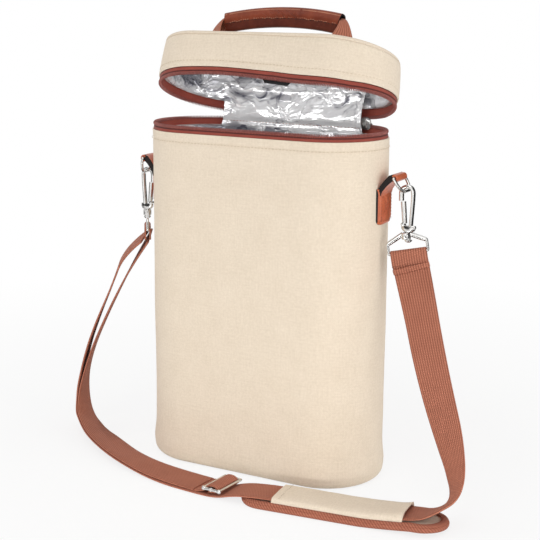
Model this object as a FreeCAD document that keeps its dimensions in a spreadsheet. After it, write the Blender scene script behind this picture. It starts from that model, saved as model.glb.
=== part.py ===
import FreeCAD, Part
import math
import os
import re
import Sketcher

# A two-bottle insulated carrier. Z is up, the floor is at zero, and the origin is the centre of the base.
# The front faces minus Y and the right end of the bag is towards plus X. Sizes are in millimetres.

SIZES = {
    # bag
    "bag_width": 210, "bag_depth": 95, "body_height": 285, "base_round": 10,
    "canvas": 1.4, "layer_gap": 0.15, "foam": 4, "lining": 0.8,
    "seam_inset": 12, "board": 2.5, "board_inset": 9, "base_foam_inset": 4, "rim_drop": 1,
    "divider": 6, "divider_top": 240, "divider_gap": 0.3, "divider_round": 2.4,
    # zip and cloth hinge
    "tape": 0.9, "tape_overlap": 6, "coil_height": 3.2, "coil_depth": 2.2, "coil_gap": 0.9,
    "zip_rise": 7.6, "hinge_offset": 1, "hinge_gap": 0.3, "zip_end_gap": 0.6,
    # lid
    "lid_angle": 22.2, "lid_edge": 8, "lid_height": 42.5, "lid_cap": 3.5, "lid_round": 3.2,
    "label_width": 24, "label_rise": 13, "label_thick": 0.6, "label_drop": 4, "label_inset": 3.5,
    "label_shift": 27,
    # zip slider and pull
    "slider_angle": 16, "slider_half": 6, "slider_plate": 0.8, "slider_clear": 0.8, "slider_low": 5.5,
    "slider_high": 5, "neck_half": 1.5, "neck_rise": 0.5, "face_half": 4.5, "face_clear": 0.3,
    "face_high": 0.6, "face_low": 6, "lug_inner": 2.9, "lug_thick": 1, "lug_reach": 2.9, "lug_rise": 2.8,
    "pull_pin": 0.7, "pull_drop": 3.6, "pull_out": 1.6, "pull_eye": 1.6, "pull_bore": 1, "pull_half": 2.6,
    "pull_length": 18, "pull_thick": 1.3, "pull_round": 2,
    # carry handle
    "foot_out": 5.8, "foot_width": 29, "foot_tongue": 17, "foot_top": 11, "foot_neck": 10,
    "webbing": 1.6, "lap_gap": 0.6, "riser_low": 6, "riser_half": 5,
    "grip_reach": 56, "grip_rise": 29.5, "grip_radius": 264, "grip_tall": 17, "grip_deep": 10.5,
    "core_tall": 12.6, "core_deep": 3.2, "core_clear": 0.2, "core_past": 1.2,
    # leather tabs
    "leather": 3.2, "tab_half": 11, "tab_drop": 37, "tab_tall": 33, "tab_corner": 6,
    "neck_width": 20, "neck_drop": 8, "eye_out": 13, "eye_rise": 6, "eye_outer": 4.6,
    "eye_bore": 1.9,
    # rings
    "ring_wire": 1.25, "ring_half": 12, "ring_leg": 2.5, "ring_tilt_right": 42, "ring_tilt_left": 14,
    # snap hooks
    "hook_inner": 3.2, "hook_bar": 2.8, "hook_half": 2.2, "hook_crown": 2.45, "hook_foot": 26,
    "hook_sole": 29.5, "hook_nose": 6.5, "ear_in": 1.9, "ear_out": 2.9, "ear_rise": 3.8, "ear_bore": 0.7,
    "gate_pin_drop": 24,
    "gate_thick": 2, "gate_half": 1.6, "gate_gap": 0.4, "gate_bore": 0.8, "gate_eye": 1.4,
    "post": 1.7, "post_end": 36, "head": 2.9, "head_end": 38.2,
    # strap frames
    "barrel_bore": 2.1, "barrel": 3.7, "barrel_top": 30, "barrel_end": 35.5, "frame_wire": 1.15,
    "frame_root": 3, "frame_root_drop": 33, "frame_half": 16.1, "frame_shoulder": 40, "frame_bar": 48,
    "frame_yaw_right": 18, "frame_yaw_left": -55.6,
    # shoulder strap
    "strap_width": 29, "bend_gap": 0.15, "loop_leg": 6, "tail_length": 13, "return_lift": 2.15,
    "strap_end_gap": 0.8,
    # slide adjuster
    "adjuster_x": 5, "adjuster_y": -87, "adjuster_yaw": -4.5, "adjuster_rise": 5, "adjuster_half": 7.8,
    "adjuster_side": 16.6, "adjuster_wire": 1.2, "adjuster_bar": 1.1, "roll_width": 28.6, "roll_tail": 16,
    # shoulder pad
    "pad_x": 111, "pad_y": -77, "pad_yaw": 5.9, "pad_length": 170, "pad_width": 42, "binding_low": 0.1,
    "binding_rise": 6.2, "binding": 0.9, "binding_lip": 6.5, "pad_core_low": 1.15, "pad_core_rise": 4,
    "pad_crown": 1.6, "pad_core_gap": 0.15, "sleeve_low": 6.35, "sleeve_half": 17, "sleeve_high": 10.2,
    "sleeve": 0.9, "sleeve_left": -54, "sleeve_right": 53, "overrun": 2,
}

# Route of the shoulder strap: a point on its middle line, then the direction of its outer edge.
STRAP_ROUTE = [
    ((-123, -1, 187), (0.57, -0.82, 0)),
    ((-142, -4, 169), (0.55, -0.835, 0)),
    ((-156, -6, 140), (0.51, -0.86, 0)),
    ((-174, -6, 104), (0.46, -0.885, 0)),
    ((-188.5, -5, 70), (0.45, -0.89, 0)),
    ((-194, -7, 40), (0.44, -0.90, 0)),
    ((-186, -15, 15), (0.33, -0.94, 0)),
    ((-168, -31, 3.2), (-0.12, -0.99, 0.03)),
    ((-139, -52, 0.9), (-0.42, -0.91, 0)),
    ((-99, -70.5, 0.9), (-0.33, -0.95, 0)),
    ((-52, -82.5, 0.9), (-0.15, -0.98, 0)),
    ((-10, -87, 0.9), (-0.06, -1, 0)),
    ((14, -88.2, 0.9), (0, -1, 0)),
    ((25.5, -88.2, 8.1), (0.05, -1, 0)),
    ((42, -86.4, 8.5), (0.10, -1, 0)),
    ((60, -83, 7.9), (0.10, -1, 0)),
    ((112, -77.5, 7.8), (0.10, -1, 0)),
    ((174, -70.6, 7.9), (0.10, -1, 0)),
    ((187, -66.9, 10.9), (0.18, -0.94, 0.24)),
    ((195.5, -62, 20.5), (0.38, -0.84, 0.34)),
    ((196, -58, 40), (0.74, -0.66, 0.10)),
    ((185.5, -51, 66), (0.95, -0.31, 0.05)),
    ((171, -40, 96), (0.985, -0.16, 0.03)),
    ((157, -28, 127), (0.995, -0.08, 0.03)),
    ((143.5, -14, 160), (0.998, 0.02, 0.04)),
    ((127, 2, 189), (0.95, 0.31, 0)),
]

# Upper part of the layer that comes back down inside the strap at its left end.
RETURN_ROUTE = [
    ((-119.4, 1.2, 187), (0.57, -0.82, 0)),
    ((-133, 0.5, 167), (0.51, -0.86, 0)),
    ((-149, -1, 140), (0.46, -0.89, 0)),
    ((-168, -3, 104), (0.45, -0.89, 0)),
    ((-184, -4.2, 70), (0.45, -0.89, 0)),
]
RETURN_JOINS = 5
RETURN_LEAVES = 12

ARC_SHARE = 0.45
ARC_STEP = math.radians(7)
CENTRE = FreeCAD.Vector(0, 0, 0)
X_AXIS = FreeCAD.Vector(1, 0, 0)
Y_AXIS = FreeCAD.Vector(0, 1, 0)
Z_AXIS = FreeCAD.Vector(0, 0, 1)

doc = FreeCAD.newDocument("bottle_carrier")
sheet = doc.addObject("Spreadsheet::Sheet", "sizes")
for row, (alias, value) in enumerate(SIZES.items(), start=1):
    sheet.set(f"A{row}", alias)
    sheet.set(f"B{row}", str(value))
    sheet.setAlias(f"B{row}", alias)
doc.recompute()


class Sheet:
    """The sheet's numbers by name."""

    def __getattr__(self, name):
        return float(sheet.get(name))


d = Sheet()
nodes = []


def vec(x, y, z):
    return FreeCAD.Vector(x, y, z)


def formula(text):
    """Turn a sum of size names into an expression on the sheet."""
    return re.sub(r"[a-z_]+", lambda found: "sizes." + found.group(), text)


# Bag pieces: sketched racetracks, padded and pocketed

HALF_DEPTH = "bag_depth / 2"
HINGE_HEIGHT = "body_height + zip_rise"
LID_MIDDLE = f"0 - {HALF_DEPTH} - hinge_offset"
RUN_HALF = "(bag_width - bag_depth) / 2"


def sketch_on(body, tag, lift, shift="0", plane="XY_Plane"):
    support = next(item for item in body.Origin.OriginFeatures if item.Role == plane)
    sketch = body.newObject("Sketcher::SketchObject", f"{body.Name}_{tag}")
    sketch.AttachmentSupport = (support, [""])
    sketch.MapMode = "FlatFace"
    sketch.setExpression("AttachmentOffset.Base.z", formula(lift))
    sketch.setExpression("AttachmentOffset.Base.y", formula(shift))
    return sketch


def add_racetrack(sketch, tag, width, depth):
    """Add two lines and two half circles, centred, whose width and depth are formulas."""
    first = sketch.GeometryCount
    radius = d.bag_depth / 2
    run = d.bag_width / 2 - radius
    quarter = math.pi / 2
    sketch.addGeometry(Part.LineSegment(vec(-run, radius, 0), vec(run, radius, 0)), False)
    right = Part.Circle(vec(run, 0, 0), Z_AXIS, radius)
    sketch.addGeometry(Part.ArcOfCircle(right, -quarter, quarter), False)
    sketch.addGeometry(Part.LineSegment(vec(run, -radius, 0), vec(-run, -radius, 0)), False)
    left = Part.Circle(vec(-run, 0, 0), Z_AXIS, radius)
    sketch.addGeometry(Part.ArcOfCircle(left, quarter, quarter + math.pi), False)
    top, right, low, left = range(first, first + 4)
    for joint in ((top, 2, right, 2), (right, 1, low, 1), (low, 2, left, 2), (left, 1, top, 1)):
        sketch.addConstraint(Sketcher.Constraint("Tangent", *joint))
    sketch.addConstraint(Sketcher.Constraint("Horizontal", top))
    sketch.addConstraint(Sketcher.Constraint("Symmetric", left, 3, right, 3, -1, 1))
    sketch.addConstraint(Sketcher.Constraint("PointOnObject", right, 3, -1))
    run_at = sketch.addConstraint(Sketcher.Constraint("DistanceX", left, 3, right, 3, 2 * run))
    sketch.renameConstraint(run_at, f"{tag}_run")
    radius_at = sketch.addConstraint(Sketcher.Constraint("Radius", right, radius))
    sketch.renameConstraint(radius_at, f"{tag}_radius")
    sketch.setExpression(f"Constraints.{tag}_run", formula(f"({width}) - ({depth})"))
    sketch.setExpression(f"Constraints.{tag}_radius", formula(f"({depth}) / 2"))


def add_rectangle(sketch, tag, half, reach):
    """Add a rectangle on the Y axis, from the X axis to a reach, of a given half width."""
    first = sketch.GeometryCount
    wide = d.bag_depth / 2
    far = d.bag_depth
    corners = [vec(-wide, 0, 0), vec(wide, 0, 0), vec(wide, far, 0), vec(-wide, far, 0)]
    for start, end in zip(corners, corners[1:] + corners[:1]):
        sketch.addGeometry(Part.LineSegment(start, end), False)
    low, right, top, left = range(first, first + 4)
    for one, other in ((low, right), (right, top), (top, left), (left, low)):
        sketch.addConstraint(Sketcher.Constraint("Coincident", one, 2, other, 1))
    for line in (right, left):
        sketch.addConstraint(Sketcher.Constraint("Vertical", line))
    sketch.addConstraint(Sketcher.Constraint("Horizontal", top))
    sketch.addConstraint(Sketcher.Constraint("Symmetric", low, 1, low, 2, -1, 1))
    half_at = sketch.addConstraint(Sketcher.Constraint("DistanceX", low, 1, low, 2, 2 * wide))
    sketch.renameConstraint(half_at, f"{tag}_wide")
    reach_at = sketch.addConstraint(Sketcher.Constraint("DistanceY", right, 1, right, 2, far))
    sketch.renameConstraint(reach_at, f"{tag}_reach")
    sketch.setExpression(f"Constraints.{tag}_wide", formula(f"2 * ({half})"))
    sketch.setExpression(f"Constraints.{tag}_reach", formula(reach))


def inset_loop(sketch, tag, inset, width="bag_width", depth="bag_depth"):
    add_racetrack(sketch, tag, f"{width} - 2 * ({inset})", f"{depth} - 2 * ({inset})")


def raise_pad(body, sketch, height):
    sketch.Visibility = False
    pad = body.newObject("PartDesign::Pad", f"{sketch.Name}_pad")
    pad.Profile = sketch
    pad.setExpression("Length", formula(height))
    doc.recompute()
    return pad


def cut_pocket(body, sketch, depth, upward=False):
    before = body.Shape.Volume
    pocket = body.newObject("PartDesign::Pocket", f"{sketch.Name}_pocket")
    pocket.Profile = sketch
    pocket.Reversed = upward
    pocket.setExpression("Length", formula(depth))
    doc.recompute()
    if not body.Shape.Volume < before:
        raise ValueError(f"{pocket.Name} removes nothing")
    return pocket


def round_edges(body, feature, height, radius):
    """Round the edges of a feature that lie level at a given height."""
    level = []
    for number, edge in enumerate(feature.Shape.Edges, start=1):
        box = edge.BoundBox
        if abs(box.ZMin - height) < d.layer_gap / 2 and abs(box.ZMax - height) < d.layer_gap / 2:
            level.append(f"Edge{number}")
    fillet = body.newObject("PartDesign::Fillet", f"{feature.Name}_round")
    fillet.Base = (feature, level)
    fillet.setExpression("Radius", formula(radius))
    doc.recompute()
    return fillet


def new_body(label):
    body = doc.addObject("PartDesign::Body", label)
    body.Label = label
    nodes.append(body)
    return body


def on_lid(item):
    """Put a piece that is built in the lid's own frame on the cloth hinge, with the lid propped open."""
    item.setExpression("Placement.Base.y", formula(f"{HALF_DEPTH} + hinge_offset"))
    item.setExpression("Placement.Base.z", formula(HINGE_HEIGHT))
    item.setExpression("Placement.Rotation.Axis.x", "1")
    item.setExpression("Placement.Rotation.Axis.y", "0")
    item.setExpression("Placement.Rotation.Axis.z", "0")
    item.setExpression("Placement.Rotation.Angle", formula("0 - lid_angle"))


def wall(label, outer, inner, low, high, lid=False, split=False, step=None):
    """Make an upright racetrack wall between two insets, open at the back where the zip stops.

    A step is a second wall on top of the first, as its own outer and inner inset and its top.
    """
    shift = LID_MIDDLE if lid else "0"
    body = new_body(label)
    ring = sketch_on(body, "plan", low, shift)
    inset_loop(ring, "outer", outer)
    inset_loop(ring, "inner", inner)
    raise_pad(body, ring, f"({high}) - ({low})")
    if step:
        upper = sketch_on(body, "step", high, shift)
        inset_loop(upper, "outer", step[0])
        inset_loop(upper, "inner", step[1])
        raise_pad(body, upper, f"({step[2]}) - ({high})")
    if split:
        gap = sketch_on(body, "gap", high, shift)
        add_rectangle(gap, "gap", f"{RUN_HALF} + zip_end_gap", "bag_depth")
        cut_pocket(body, gap, f"({high}) - ({low}) + overrun")
    if lid:
        on_lid(body)
    return body


def slab(label, inset, low, high, lid=False):
    """Make a solid racetrack layer."""
    body = new_body(label)
    plan = sketch_on(body, "plan", low, LID_MIDDLE if lid else "0")
    inset_loop(plan, "outer", inset)
    raise_pad(body, plan, f"({high}) - ({low})")
    if lid:
        on_lid(body)
    return body


UNDER_CANVAS = "canvas + layer_gap"
UNDER_TAPE = "canvas + layer_gap + tape + layer_gap"
FOAM_IN = "canvas + layer_gap + foam"
UNDER_FOAM = "canvas + layer_gap + foam + layer_gap"
COIL_OUT = "canvas + layer_gap + tape / 2 - coil_depth / 2"
COIL_IN = "canvas + layer_gap + tape / 2 + coil_depth / 2"

canvas_body = new_body("body_canvas")
canvas_plan = sketch_on(canvas_body, "plan", "0")
inset_loop(canvas_plan, "outer", "0")
raise_pad(canvas_body, canvas_plan, "body_height")
canvas_hollow = sketch_on(canvas_body, "hollow", "body_height")
inset_loop(canvas_hollow, "inner", "canvas")
canvas_cut = cut_pocket(canvas_body, canvas_hollow, "body_height - canvas")
canvas_cup = round_edges(canvas_body, canvas_cut, d.canvas, "base_round - canvas")
round_edges(canvas_body, canvas_cup, 0, "base_round")
canvas_base = sketch_on(canvas_body, "base", "0")
inset_loop(canvas_base, "seam", "seam_inset")
cut_pocket(canvas_body, canvas_base, "canvas + overrun", upward=True)

slab("base_panel", "seam_inset + layer_gap", "0", "canvas")
slab("base_board", "board_inset", UNDER_CANVAS, f"{UNDER_CANVAS} + board")
slab("base_foam", "base_foam_inset", f"{UNDER_CANVAS} + board + layer_gap", "base_round")
wall("body_foam", UNDER_CANVAS, FOAM_IN, "base_round + layer_gap", "body_height - tape_overlap - layer_gap",
     step=(UNDER_TAPE, FOAM_IN, "body_height - rim_drop"))

lining_body = new_body("body_lining")
lining_plan = sketch_on(lining_body, "plan", "base_round + layer_gap")
inset_loop(lining_plan, "outer", UNDER_FOAM)
raise_pad(lining_body, lining_plan, "body_height - rim_drop - base_round - layer_gap")
lining_hollow = sketch_on(lining_body, "hollow", "body_height - rim_drop")
inset_loop(lining_hollow, "inner", f"{UNDER_FOAM} + lining")
cut_pocket(lining_body, lining_hollow, "body_height - rim_drop - base_round - layer_gap - lining")

COIL_BELOW = f"{HINGE_HEIGHT} - coil_gap - coil_height"
wall("body_zip_tape", UNDER_CANVAS, f"{UNDER_CANVAS} + tape", "body_height - tape_overlap", COIL_BELOW,
     split=True)
wall("body_zip_coil", COIL_OUT, COIL_IN, COIL_BELOW, f"{HINGE_HEIGHT} - coil_gap", split=True)

wall("lid_gusset", "0", "canvas", "lid_edge", "lid_height - lid_cap", lid=True)
top_body = new_body("lid_top")
top_plan = sketch_on(top_body, "plan", "lid_height - lid_cap", LID_MIDDLE)
inset_loop(top_plan, "outer", "0")
top_pad = raise_pad(top_body, top_plan, "lid_cap")
round_edges(top_body, top_pad, d.lid_height, "lid_round")
top_hollow = sketch_on(top_body, "hollow", "lid_height - lid_cap", LID_MIDDLE)
inset_loop(top_hollow, "inner", "canvas + layer_gap")
cut_pocket(top_body, top_hollow, "lid_cap - canvas", upward=True)
on_lid(top_body)

LID_CEILING = "lid_height - canvas - layer_gap - foam"
slab("lid_top_foam", UNDER_CANVAS + " + layer_gap", LID_CEILING, f"{LID_CEILING} + foam", lid=True)
wall("lid_foam", UNDER_TAPE, FOAM_IN, "lid_edge + rim_drop", "lid_edge + tape_overlap + layer_gap",
     lid=True, step=(UNDER_CANVAS, FOAM_IN, f"{LID_CEILING} - layer_gap"))
cup_body = new_body("lid_lining")
cup_plan = sketch_on(cup_body, "plan", "lid_edge + rim_drop", LID_MIDDLE)
inset_loop(cup_plan, "outer", UNDER_FOAM)
raise_pad(cup_body, cup_plan, f"{LID_CEILING} - layer_gap - lid_edge - rim_drop")
cup_hollow = sketch_on(cup_body, "hollow", "lid_edge + rim_drop", LID_MIDDLE)
inset_loop(cup_hollow, "inner", f"{UNDER_FOAM} + lining")
cut_pocket(cup_body, cup_hollow, f"{LID_CEILING} - layer_gap - lid_edge - rim_drop - lining", upward=True)
on_lid(cup_body)
wall("lid_zip_tape", UNDER_CANVAS, f"{UNDER_CANVAS} + tape", "coil_gap + coil_height",
     "lid_edge + tape_overlap", lid=True, split=True)
wall("lid_zip_coil", COIL_OUT, COIL_IN, "coil_gap", "coil_gap + coil_height", lid=True, split=True)


# Plain boxes


def box_node(label, length, width, height, x, y, z, lid=False):
    """Make a box whose sizes and low corner are formulas."""
    block = doc.addObject("Part::Box", f"{label}_block")
    for name, text in (("Length", length), ("Width", width), ("Height", height)):
        block.setExpression(name, formula(text))
    for name, text in (("x", x), ("y", y), ("z", z)):
        block.setExpression(f"Placement.Base.{name}", formula(text))
    if lid:
        held = doc.addObject("Part::Compound", label)
        held.Links = [block]
        on_lid(held)
        block.Visibility = False
        block = held
    block.Label = label
    nodes.append(block)
    return block


HINGE_LENGTH = f"2 * ({RUN_HALF} - layer_gap)"
HINGE_LEFT = f"layer_gap - {RUN_HALF}"
box_node("body_hinge_panel", HINGE_LENGTH, "canvas", "zip_rise - hinge_gap",
         HINGE_LEFT, f"{HALF_DEPTH} - canvas", "body_height")
box_node("lid_hinge_panel", HINGE_LENGTH, "canvas", "lid_edge - hinge_gap",
         HINGE_LEFT, "0 - hinge_offset - canvas", "hinge_gap", lid=True)
box_node("lid_label", "label_width", "label_thick", "label_rise", "label_shift - label_width / 2",
         "label_inset - bag_depth - hinge_offset", "0 - label_drop", lid=True)

divider_block = doc.addObject("Part::Box", "divider_block")
divider_block.setExpression("Length", formula("divider"))
DIVIDER_INSET = f"{UNDER_FOAM} + lining + divider_gap"
DIVIDER_FOOT = "base_round + layer_gap + lining + divider_gap / 2"
divider_block.setExpression("Width", formula(f"bag_depth - 2 * ({DIVIDER_INSET})"))
divider_block.setExpression("Height", formula(f"divider_top - ({DIVIDER_FOOT})"))
divider_block.setExpression("Placement.Base.x", formula("0 - divider / 2"))
divider_block.setExpression("Placement.Base.y", formula(f"{DIVIDER_INSET} - {HALF_DEPTH}"))
divider_block.setExpression("Placement.Base.z", formula(DIVIDER_FOOT))
doc.recompute()
divider = doc.addObject("Part::Fillet", "bottle_divider")
divider.Base = divider_block
divider.Edges = [
    (number, d.divider_round, d.divider_round)
    for number, edge in enumerate(divider_block.Shape.Edges, start=1)
    if edge.BoundBox.ZLength < d.layer_gap and edge.BoundBox.YLength > d.divider
    and edge.BoundBox.ZMin > d.bag_depth
]
divider.Label = "bottle_divider"
divider_block.Visibility = False
nodes.append(divider)


# Formed pieces


def piece(label, shape, placement=None):
    item = doc.addObject("Part::Feature", label)
    item.Label = label
    item.Shape = shape
    if placement is not None:
        item.Placement = placement
    nodes.append(item)
    return item


def block(x_low, x_high, y_low, y_high, z_low, z_high):
    return Part.makeBox(x_high - x_low, y_high - y_low, z_high - z_low, vec(x_low, y_low, z_low))


def sided(side, near, far):
    """Give the low and high X or Y of something that lies between two distances on one side."""
    return sorted((side * near, side * far))


def pin(radius, start, end):
    return Part.makeCylinder(radius, (end - start).Length, start, end - start)


def rod(points, radius):
    """Join straight wire runs with round corners."""
    solid = pin(radius, points[0], points[1])
    for corner, end in zip(points[1:], points[2:]):
        solid = solid.fuse(Part.makeSphere(radius, corner))
        solid = solid.fuse(pin(radius, corner, end))
    return solid


def merged(*solids):
    return solids[0].fuse(list(solids[1:])).removeSplitter()


def plate(points, push):
    """Push a flat outline into a solid."""
    return Part.Face(Part.makePolygon(points + points[:1])).extrude(push)


def turn(axis, degrees):
    return FreeCAD.Rotation(axis, degrees)


# Zip slider: a plate behind the two coils, a thin neck between them and a face plate with two lugs.
radius_zip = d.bag_depth / 2
coil_mid = d.canvas + d.layer_gap + d.tape / 2
back_at = radius_zip - coil_mid - d.coil_depth / 2 - d.slider_clear
face_at = radius_zip - coil_mid + d.coil_depth / 2 + d.face_clear
face_out = face_at + d.slider_plate
hinge_z = d.body_height + d.zip_rise
pivot_y = face_out + d.pull_out
pivot_z = hinge_z - d.pull_drop
run_half = d.bag_width / 2 - d.bag_depth / 2
back_plate = block(-d.slider_half, d.slider_half, back_at - d.slider_plate, back_at,
                   hinge_z - d.slider_low, hinge_z + d.slider_high)
neck = block(-d.neck_half, d.neck_half, back_at - d.slider_plate / 2, face_at + d.slider_plate / 2,
             hinge_z - d.neck_rise, hinge_z + d.neck_rise)
face_plate = block(-d.face_half, d.face_half, face_at, face_out,
                   hinge_z - d.face_low, hinge_z + d.face_high)
lugs = [
    block(*sided(side, d.lug_inner, d.lug_inner + d.lug_thick),
          face_out - d.slider_plate / 2, face_out + d.lug_reach,
          pivot_z - d.lug_rise / 2, pivot_z + d.lug_rise / 2)
    for side in (-1, 1)
]
lug_end = d.lug_inner + d.lug_thick / 2
lug_pin = pin(d.pull_pin, vec(-lug_end, pivot_y, pivot_z), vec(lug_end, pivot_y, pivot_z))
slider_spot = FreeCAD.Placement(vec(run_half, 0, 0), turn(Z_AXIS, -d.slider_angle))
piece("zip_slider", merged(back_plate, neck, face_plate, lug_pin, *lugs), slider_spot)

pull_eye = pin(d.pull_eye, vec(-d.pull_half, pivot_y, pivot_z), vec(d.pull_half, pivot_y, pivot_z))
pull_blade = block(-d.pull_half, d.pull_half, pivot_y - d.pull_thick / 2, pivot_y + d.pull_thick / 2,
                   pivot_z - d.pull_length, pivot_z)
blade_ends = [edge for edge in pull_blade.Edges
              if edge.BoundBox.YLength > d.pull_thick / 2 and edge.BoundBox.XLength < d.layer_gap
              and edge.BoundBox.ZLength < d.layer_gap and edge.BoundBox.ZMax < pivot_z - d.pull_eye]
pull_blade = pull_blade.makeFillet(d.pull_round, blade_ends)
pull_bore = pin(d.pull_bore, vec(-d.face_half, pivot_y, pivot_z), vec(d.face_half, pivot_y, pivot_z))
piece("zip_pull", merged(pull_eye, pull_blade).cut(pull_bore), slider_spot)

# Carry handle, in the lid's frame: two sewn feet, a folded webbing core and a leather grip.
lid_y = -(d.bag_depth / 2 + d.hinge_offset)
foot_reach = d.grip_reach + d.foot_out
lid_spot = FreeCAD.Placement(vec(0, -lid_y, hinge_z), turn(X_AXIS, -d.lid_angle))


def level_wire(x_low, x_high, half, z):
    corners = [vec(x_low, lid_y - half, z), vec(x_high, lid_y - half, z),
               vec(x_high, lid_y + half, z), vec(x_low, lid_y + half, z)]
    return Part.makePolygon(corners + corners[:1])


def upright_wire(x, half, z_low, z_high):
    corners = [vec(x, lid_y - half, z_low), vec(x, lid_y + half, z_low),
               vec(x, lid_y + half, z_high), vec(x, lid_y - half, z_high)]
    return Part.makePolygon(corners + corners[:1])


for name, side in (("left", -1), ("right", 1)):
    span = sided(side, foot_reach, foot_reach + d.webbing)
    tongue = block(*sided(side, foot_reach, foot_reach + d.foot_tongue),
                   lid_y - d.foot_width / 2, lid_y + d.foot_width / 2,
                   d.lid_height, d.lid_height + d.webbing)
    fan_low = level_wire(*span, d.foot_width / 2, d.lid_height + d.webbing / 2)
    fan_high = level_wire(*span, d.foot_neck / 2, d.lid_height + d.foot_top)
    fan = Part.makeLoft([fan_low, fan_high], True, True)
    piece(f"{name}_handle_foot", merged(tongue, fan), lid_spot)


def arched(deep, tall, reach):
    """Bend a bar of a given section along the grip's arch."""
    middle = d.lid_height + d.grip_rise
    bend = middle - d.grip_radius
    half_angle = math.degrees(math.asin(reach / d.grip_radius))
    face = Part.Face(upright_wire(0, deep / 2, middle - tall / 2, middle + tall / 2))
    face.rotate(vec(0, lid_y, bend), Y_AXIS, -half_angle)
    return face.revolve(vec(0, lid_y, bend), Y_AXIS, 2 * half_angle)


core_reach = d.grip_reach + d.core_past
core = arched(d.core_deep, d.core_tall, core_reach)
arch_drop = d.grip_radius - math.sqrt(d.grip_radius ** 2 - core_reach ** 2)
core_middle = d.lid_height + d.grip_rise - arch_drop
risers = []
for side in (-1, 1):
    outside = foot_reach - d.lap_gap
    low = level_wire(*sided(side, outside - d.webbing, outside), d.riser_half, d.lid_height + d.riser_low)
    high = level_wire(*sided(side, d.grip_reach, core_reach), d.core_deep / 2, core_middle)
    risers.append(Part.makeLoft([low, high], True, True))
piece("handle_webbing", merged(core, *risers), lid_spot)

skin = arched(d.grip_deep, d.grip_tall, d.grip_reach)
long_edges = [edge for edge in skin.Edges if edge.Length > d.grip_reach]
skin = skin.makeFillet(d.grip_deep / 2 - d.layer_gap * 2, long_edges)
hollow = arched(d.core_deep + 2 * d.core_clear, d.core_tall + 2 * d.core_clear, d.grip_reach + d.overrun)
piece("handle_grip", skin.cut(hollow), lid_spot)

# Ends of the bag: leather tab, ring, snap hook with its gate, and strap frame with its webbing loop.


tab_high = d.body_height - d.tab_drop
tab_low = tab_high - d.tab_tall
neck_foot = tab_high - d.neck_drop
eye_reach = d.bag_width / 2 + d.eye_out
eye_height = tab_high + d.eye_rise


def tab_shape():
    inner = d.bag_depth / 2 + d.layer_gap
    shell = Part.makeCylinder(inner + d.leather, tab_high - tab_low, vec(run_half, 0, tab_low))
    shell = shell.cut(Part.makeCylinder(inner, tab_high - tab_low, vec(run_half, 0, tab_low)))
    corner = d.tab_corner
    outline = [vec(run_half, y, z) for y, z in (
        (-d.tab_half, tab_high), (-d.tab_half, tab_low + corner), (corner - d.tab_half, tab_low),
        (d.tab_half - corner, tab_low), (d.tab_half, tab_low + corner), (d.tab_half, tab_high))]
    patch = shell.common(plate(outline, vec(d.bag_width, 0, 0)))
    end_x = d.bag_width / 2 + d.layer_gap
    slope = math.atan2(eye_height - neck_foot - d.leather, eye_reach - end_x - d.leather)
    aside = vec(-math.sin(slope), 0, math.cos(slope)) * d.eye_outer
    eye = vec(eye_reach, 0, eye_height)
    half = vec(0, d.neck_width / 2, 0)
    outline = [eye - aside - half, vec(end_x + d.leather, 0, neck_foot) - half,
               vec(end_x, 0, neck_foot) - half, vec(end_x, 0, tab_high) - half, eye + aside - half]
    body = plate(outline, half * 2)
    roll = pin(d.eye_outer, eye - half, eye + half)
    past = half + vec(0, d.overrun, 0)
    return merged(patch, body, roll).cut(pin(d.eye_bore, eye - past, eye + past))


def ring_shape():
    left, right = vec(0, -d.ring_half, 0), vec(0, d.ring_half, 0)
    drop = vec(0, 0, -d.ring_leg)
    solid = rod([left + drop, left, right, right + drop], d.ring_wire)
    bow = Part.makeTorus(d.ring_half, d.ring_wire, drop, X_AXIS)
    reach = d.ring_half + d.ring_wire
    bow = bow.common(block(-reach, reach, -reach, reach, -d.ring_leg - reach, -d.ring_leg))
    return merged(solid, bow)


def hook_shape():
    """Bend the hook in the XZ plane: its shank is at plus X and its nose at minus X, over the gate."""
    outer = d.hook_inner + d.hook_bar
    crown_z = d.hook_crown - d.hook_inner
    bow = Part.makeCylinder(outer, d.hook_half * 2, vec(0, -d.hook_half, crown_z), Y_AXIS)
    bow = bow.common(block(-outer, outer, -d.hook_half, d.hook_half, crown_z, crown_z + outer))
    shank = block(d.hook_inner, outer, -d.hook_half, d.hook_half, -d.hook_sole, crown_z)
    nose = block(-outer, -d.hook_inner, -d.hook_half, d.hook_half, -d.hook_nose, crown_z)
    sole = block(-outer, outer, -d.hook_half, d.hook_half, -d.hook_sole, -d.hook_foot)
    post = Part.makeCylinder(d.post, d.head_end - d.hook_sole, vec(0, 0, -d.head_end))
    head = Part.makeCylinder(d.head, d.head_end - d.post_end, vec(0, 0, -d.head_end))
    eye = Part.makeCylinder(d.hook_inner, d.hook_half * 2, vec(0, -d.hook_half, crown_z), Y_AXIS)
    ears = [block(-outer, -d.hook_inner, *sided(side, d.ear_in, d.ear_out),
                  -d.hook_sole, -d.hook_foot + d.ear_rise) for side in (-1, 1)]
    pivot = vec(-d.hook_inner - d.hook_bar / 2, 0, -d.gate_pin_drop)
    reach = vec(0, d.ear_out, 0)
    rivet = pin(d.ear_bore, pivot - reach, pivot + reach)
    return merged(bow, shank, nose, sole, post, head, rivet, *ears).cut(eye)


def gate_shape():
    pivot_x = -d.hook_inner - d.hook_bar / 2
    reach = vec(0, d.gate_half, 0)
    pivot = vec(pivot_x, 0, -d.gate_pin_drop)
    blade = block(pivot_x - d.gate_thick / 2, pivot_x + d.gate_thick / 2, -d.gate_half, d.gate_half,
                  -d.gate_pin_drop, -d.hook_nose - d.gate_gap)
    knuckle = pin(d.gate_eye, pivot - reach, pivot + reach)
    past = reach + vec(0, d.overrun, 0)
    return merged(blade, knuckle).cut(pin(d.gate_bore, pivot - past, pivot + past))


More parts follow.
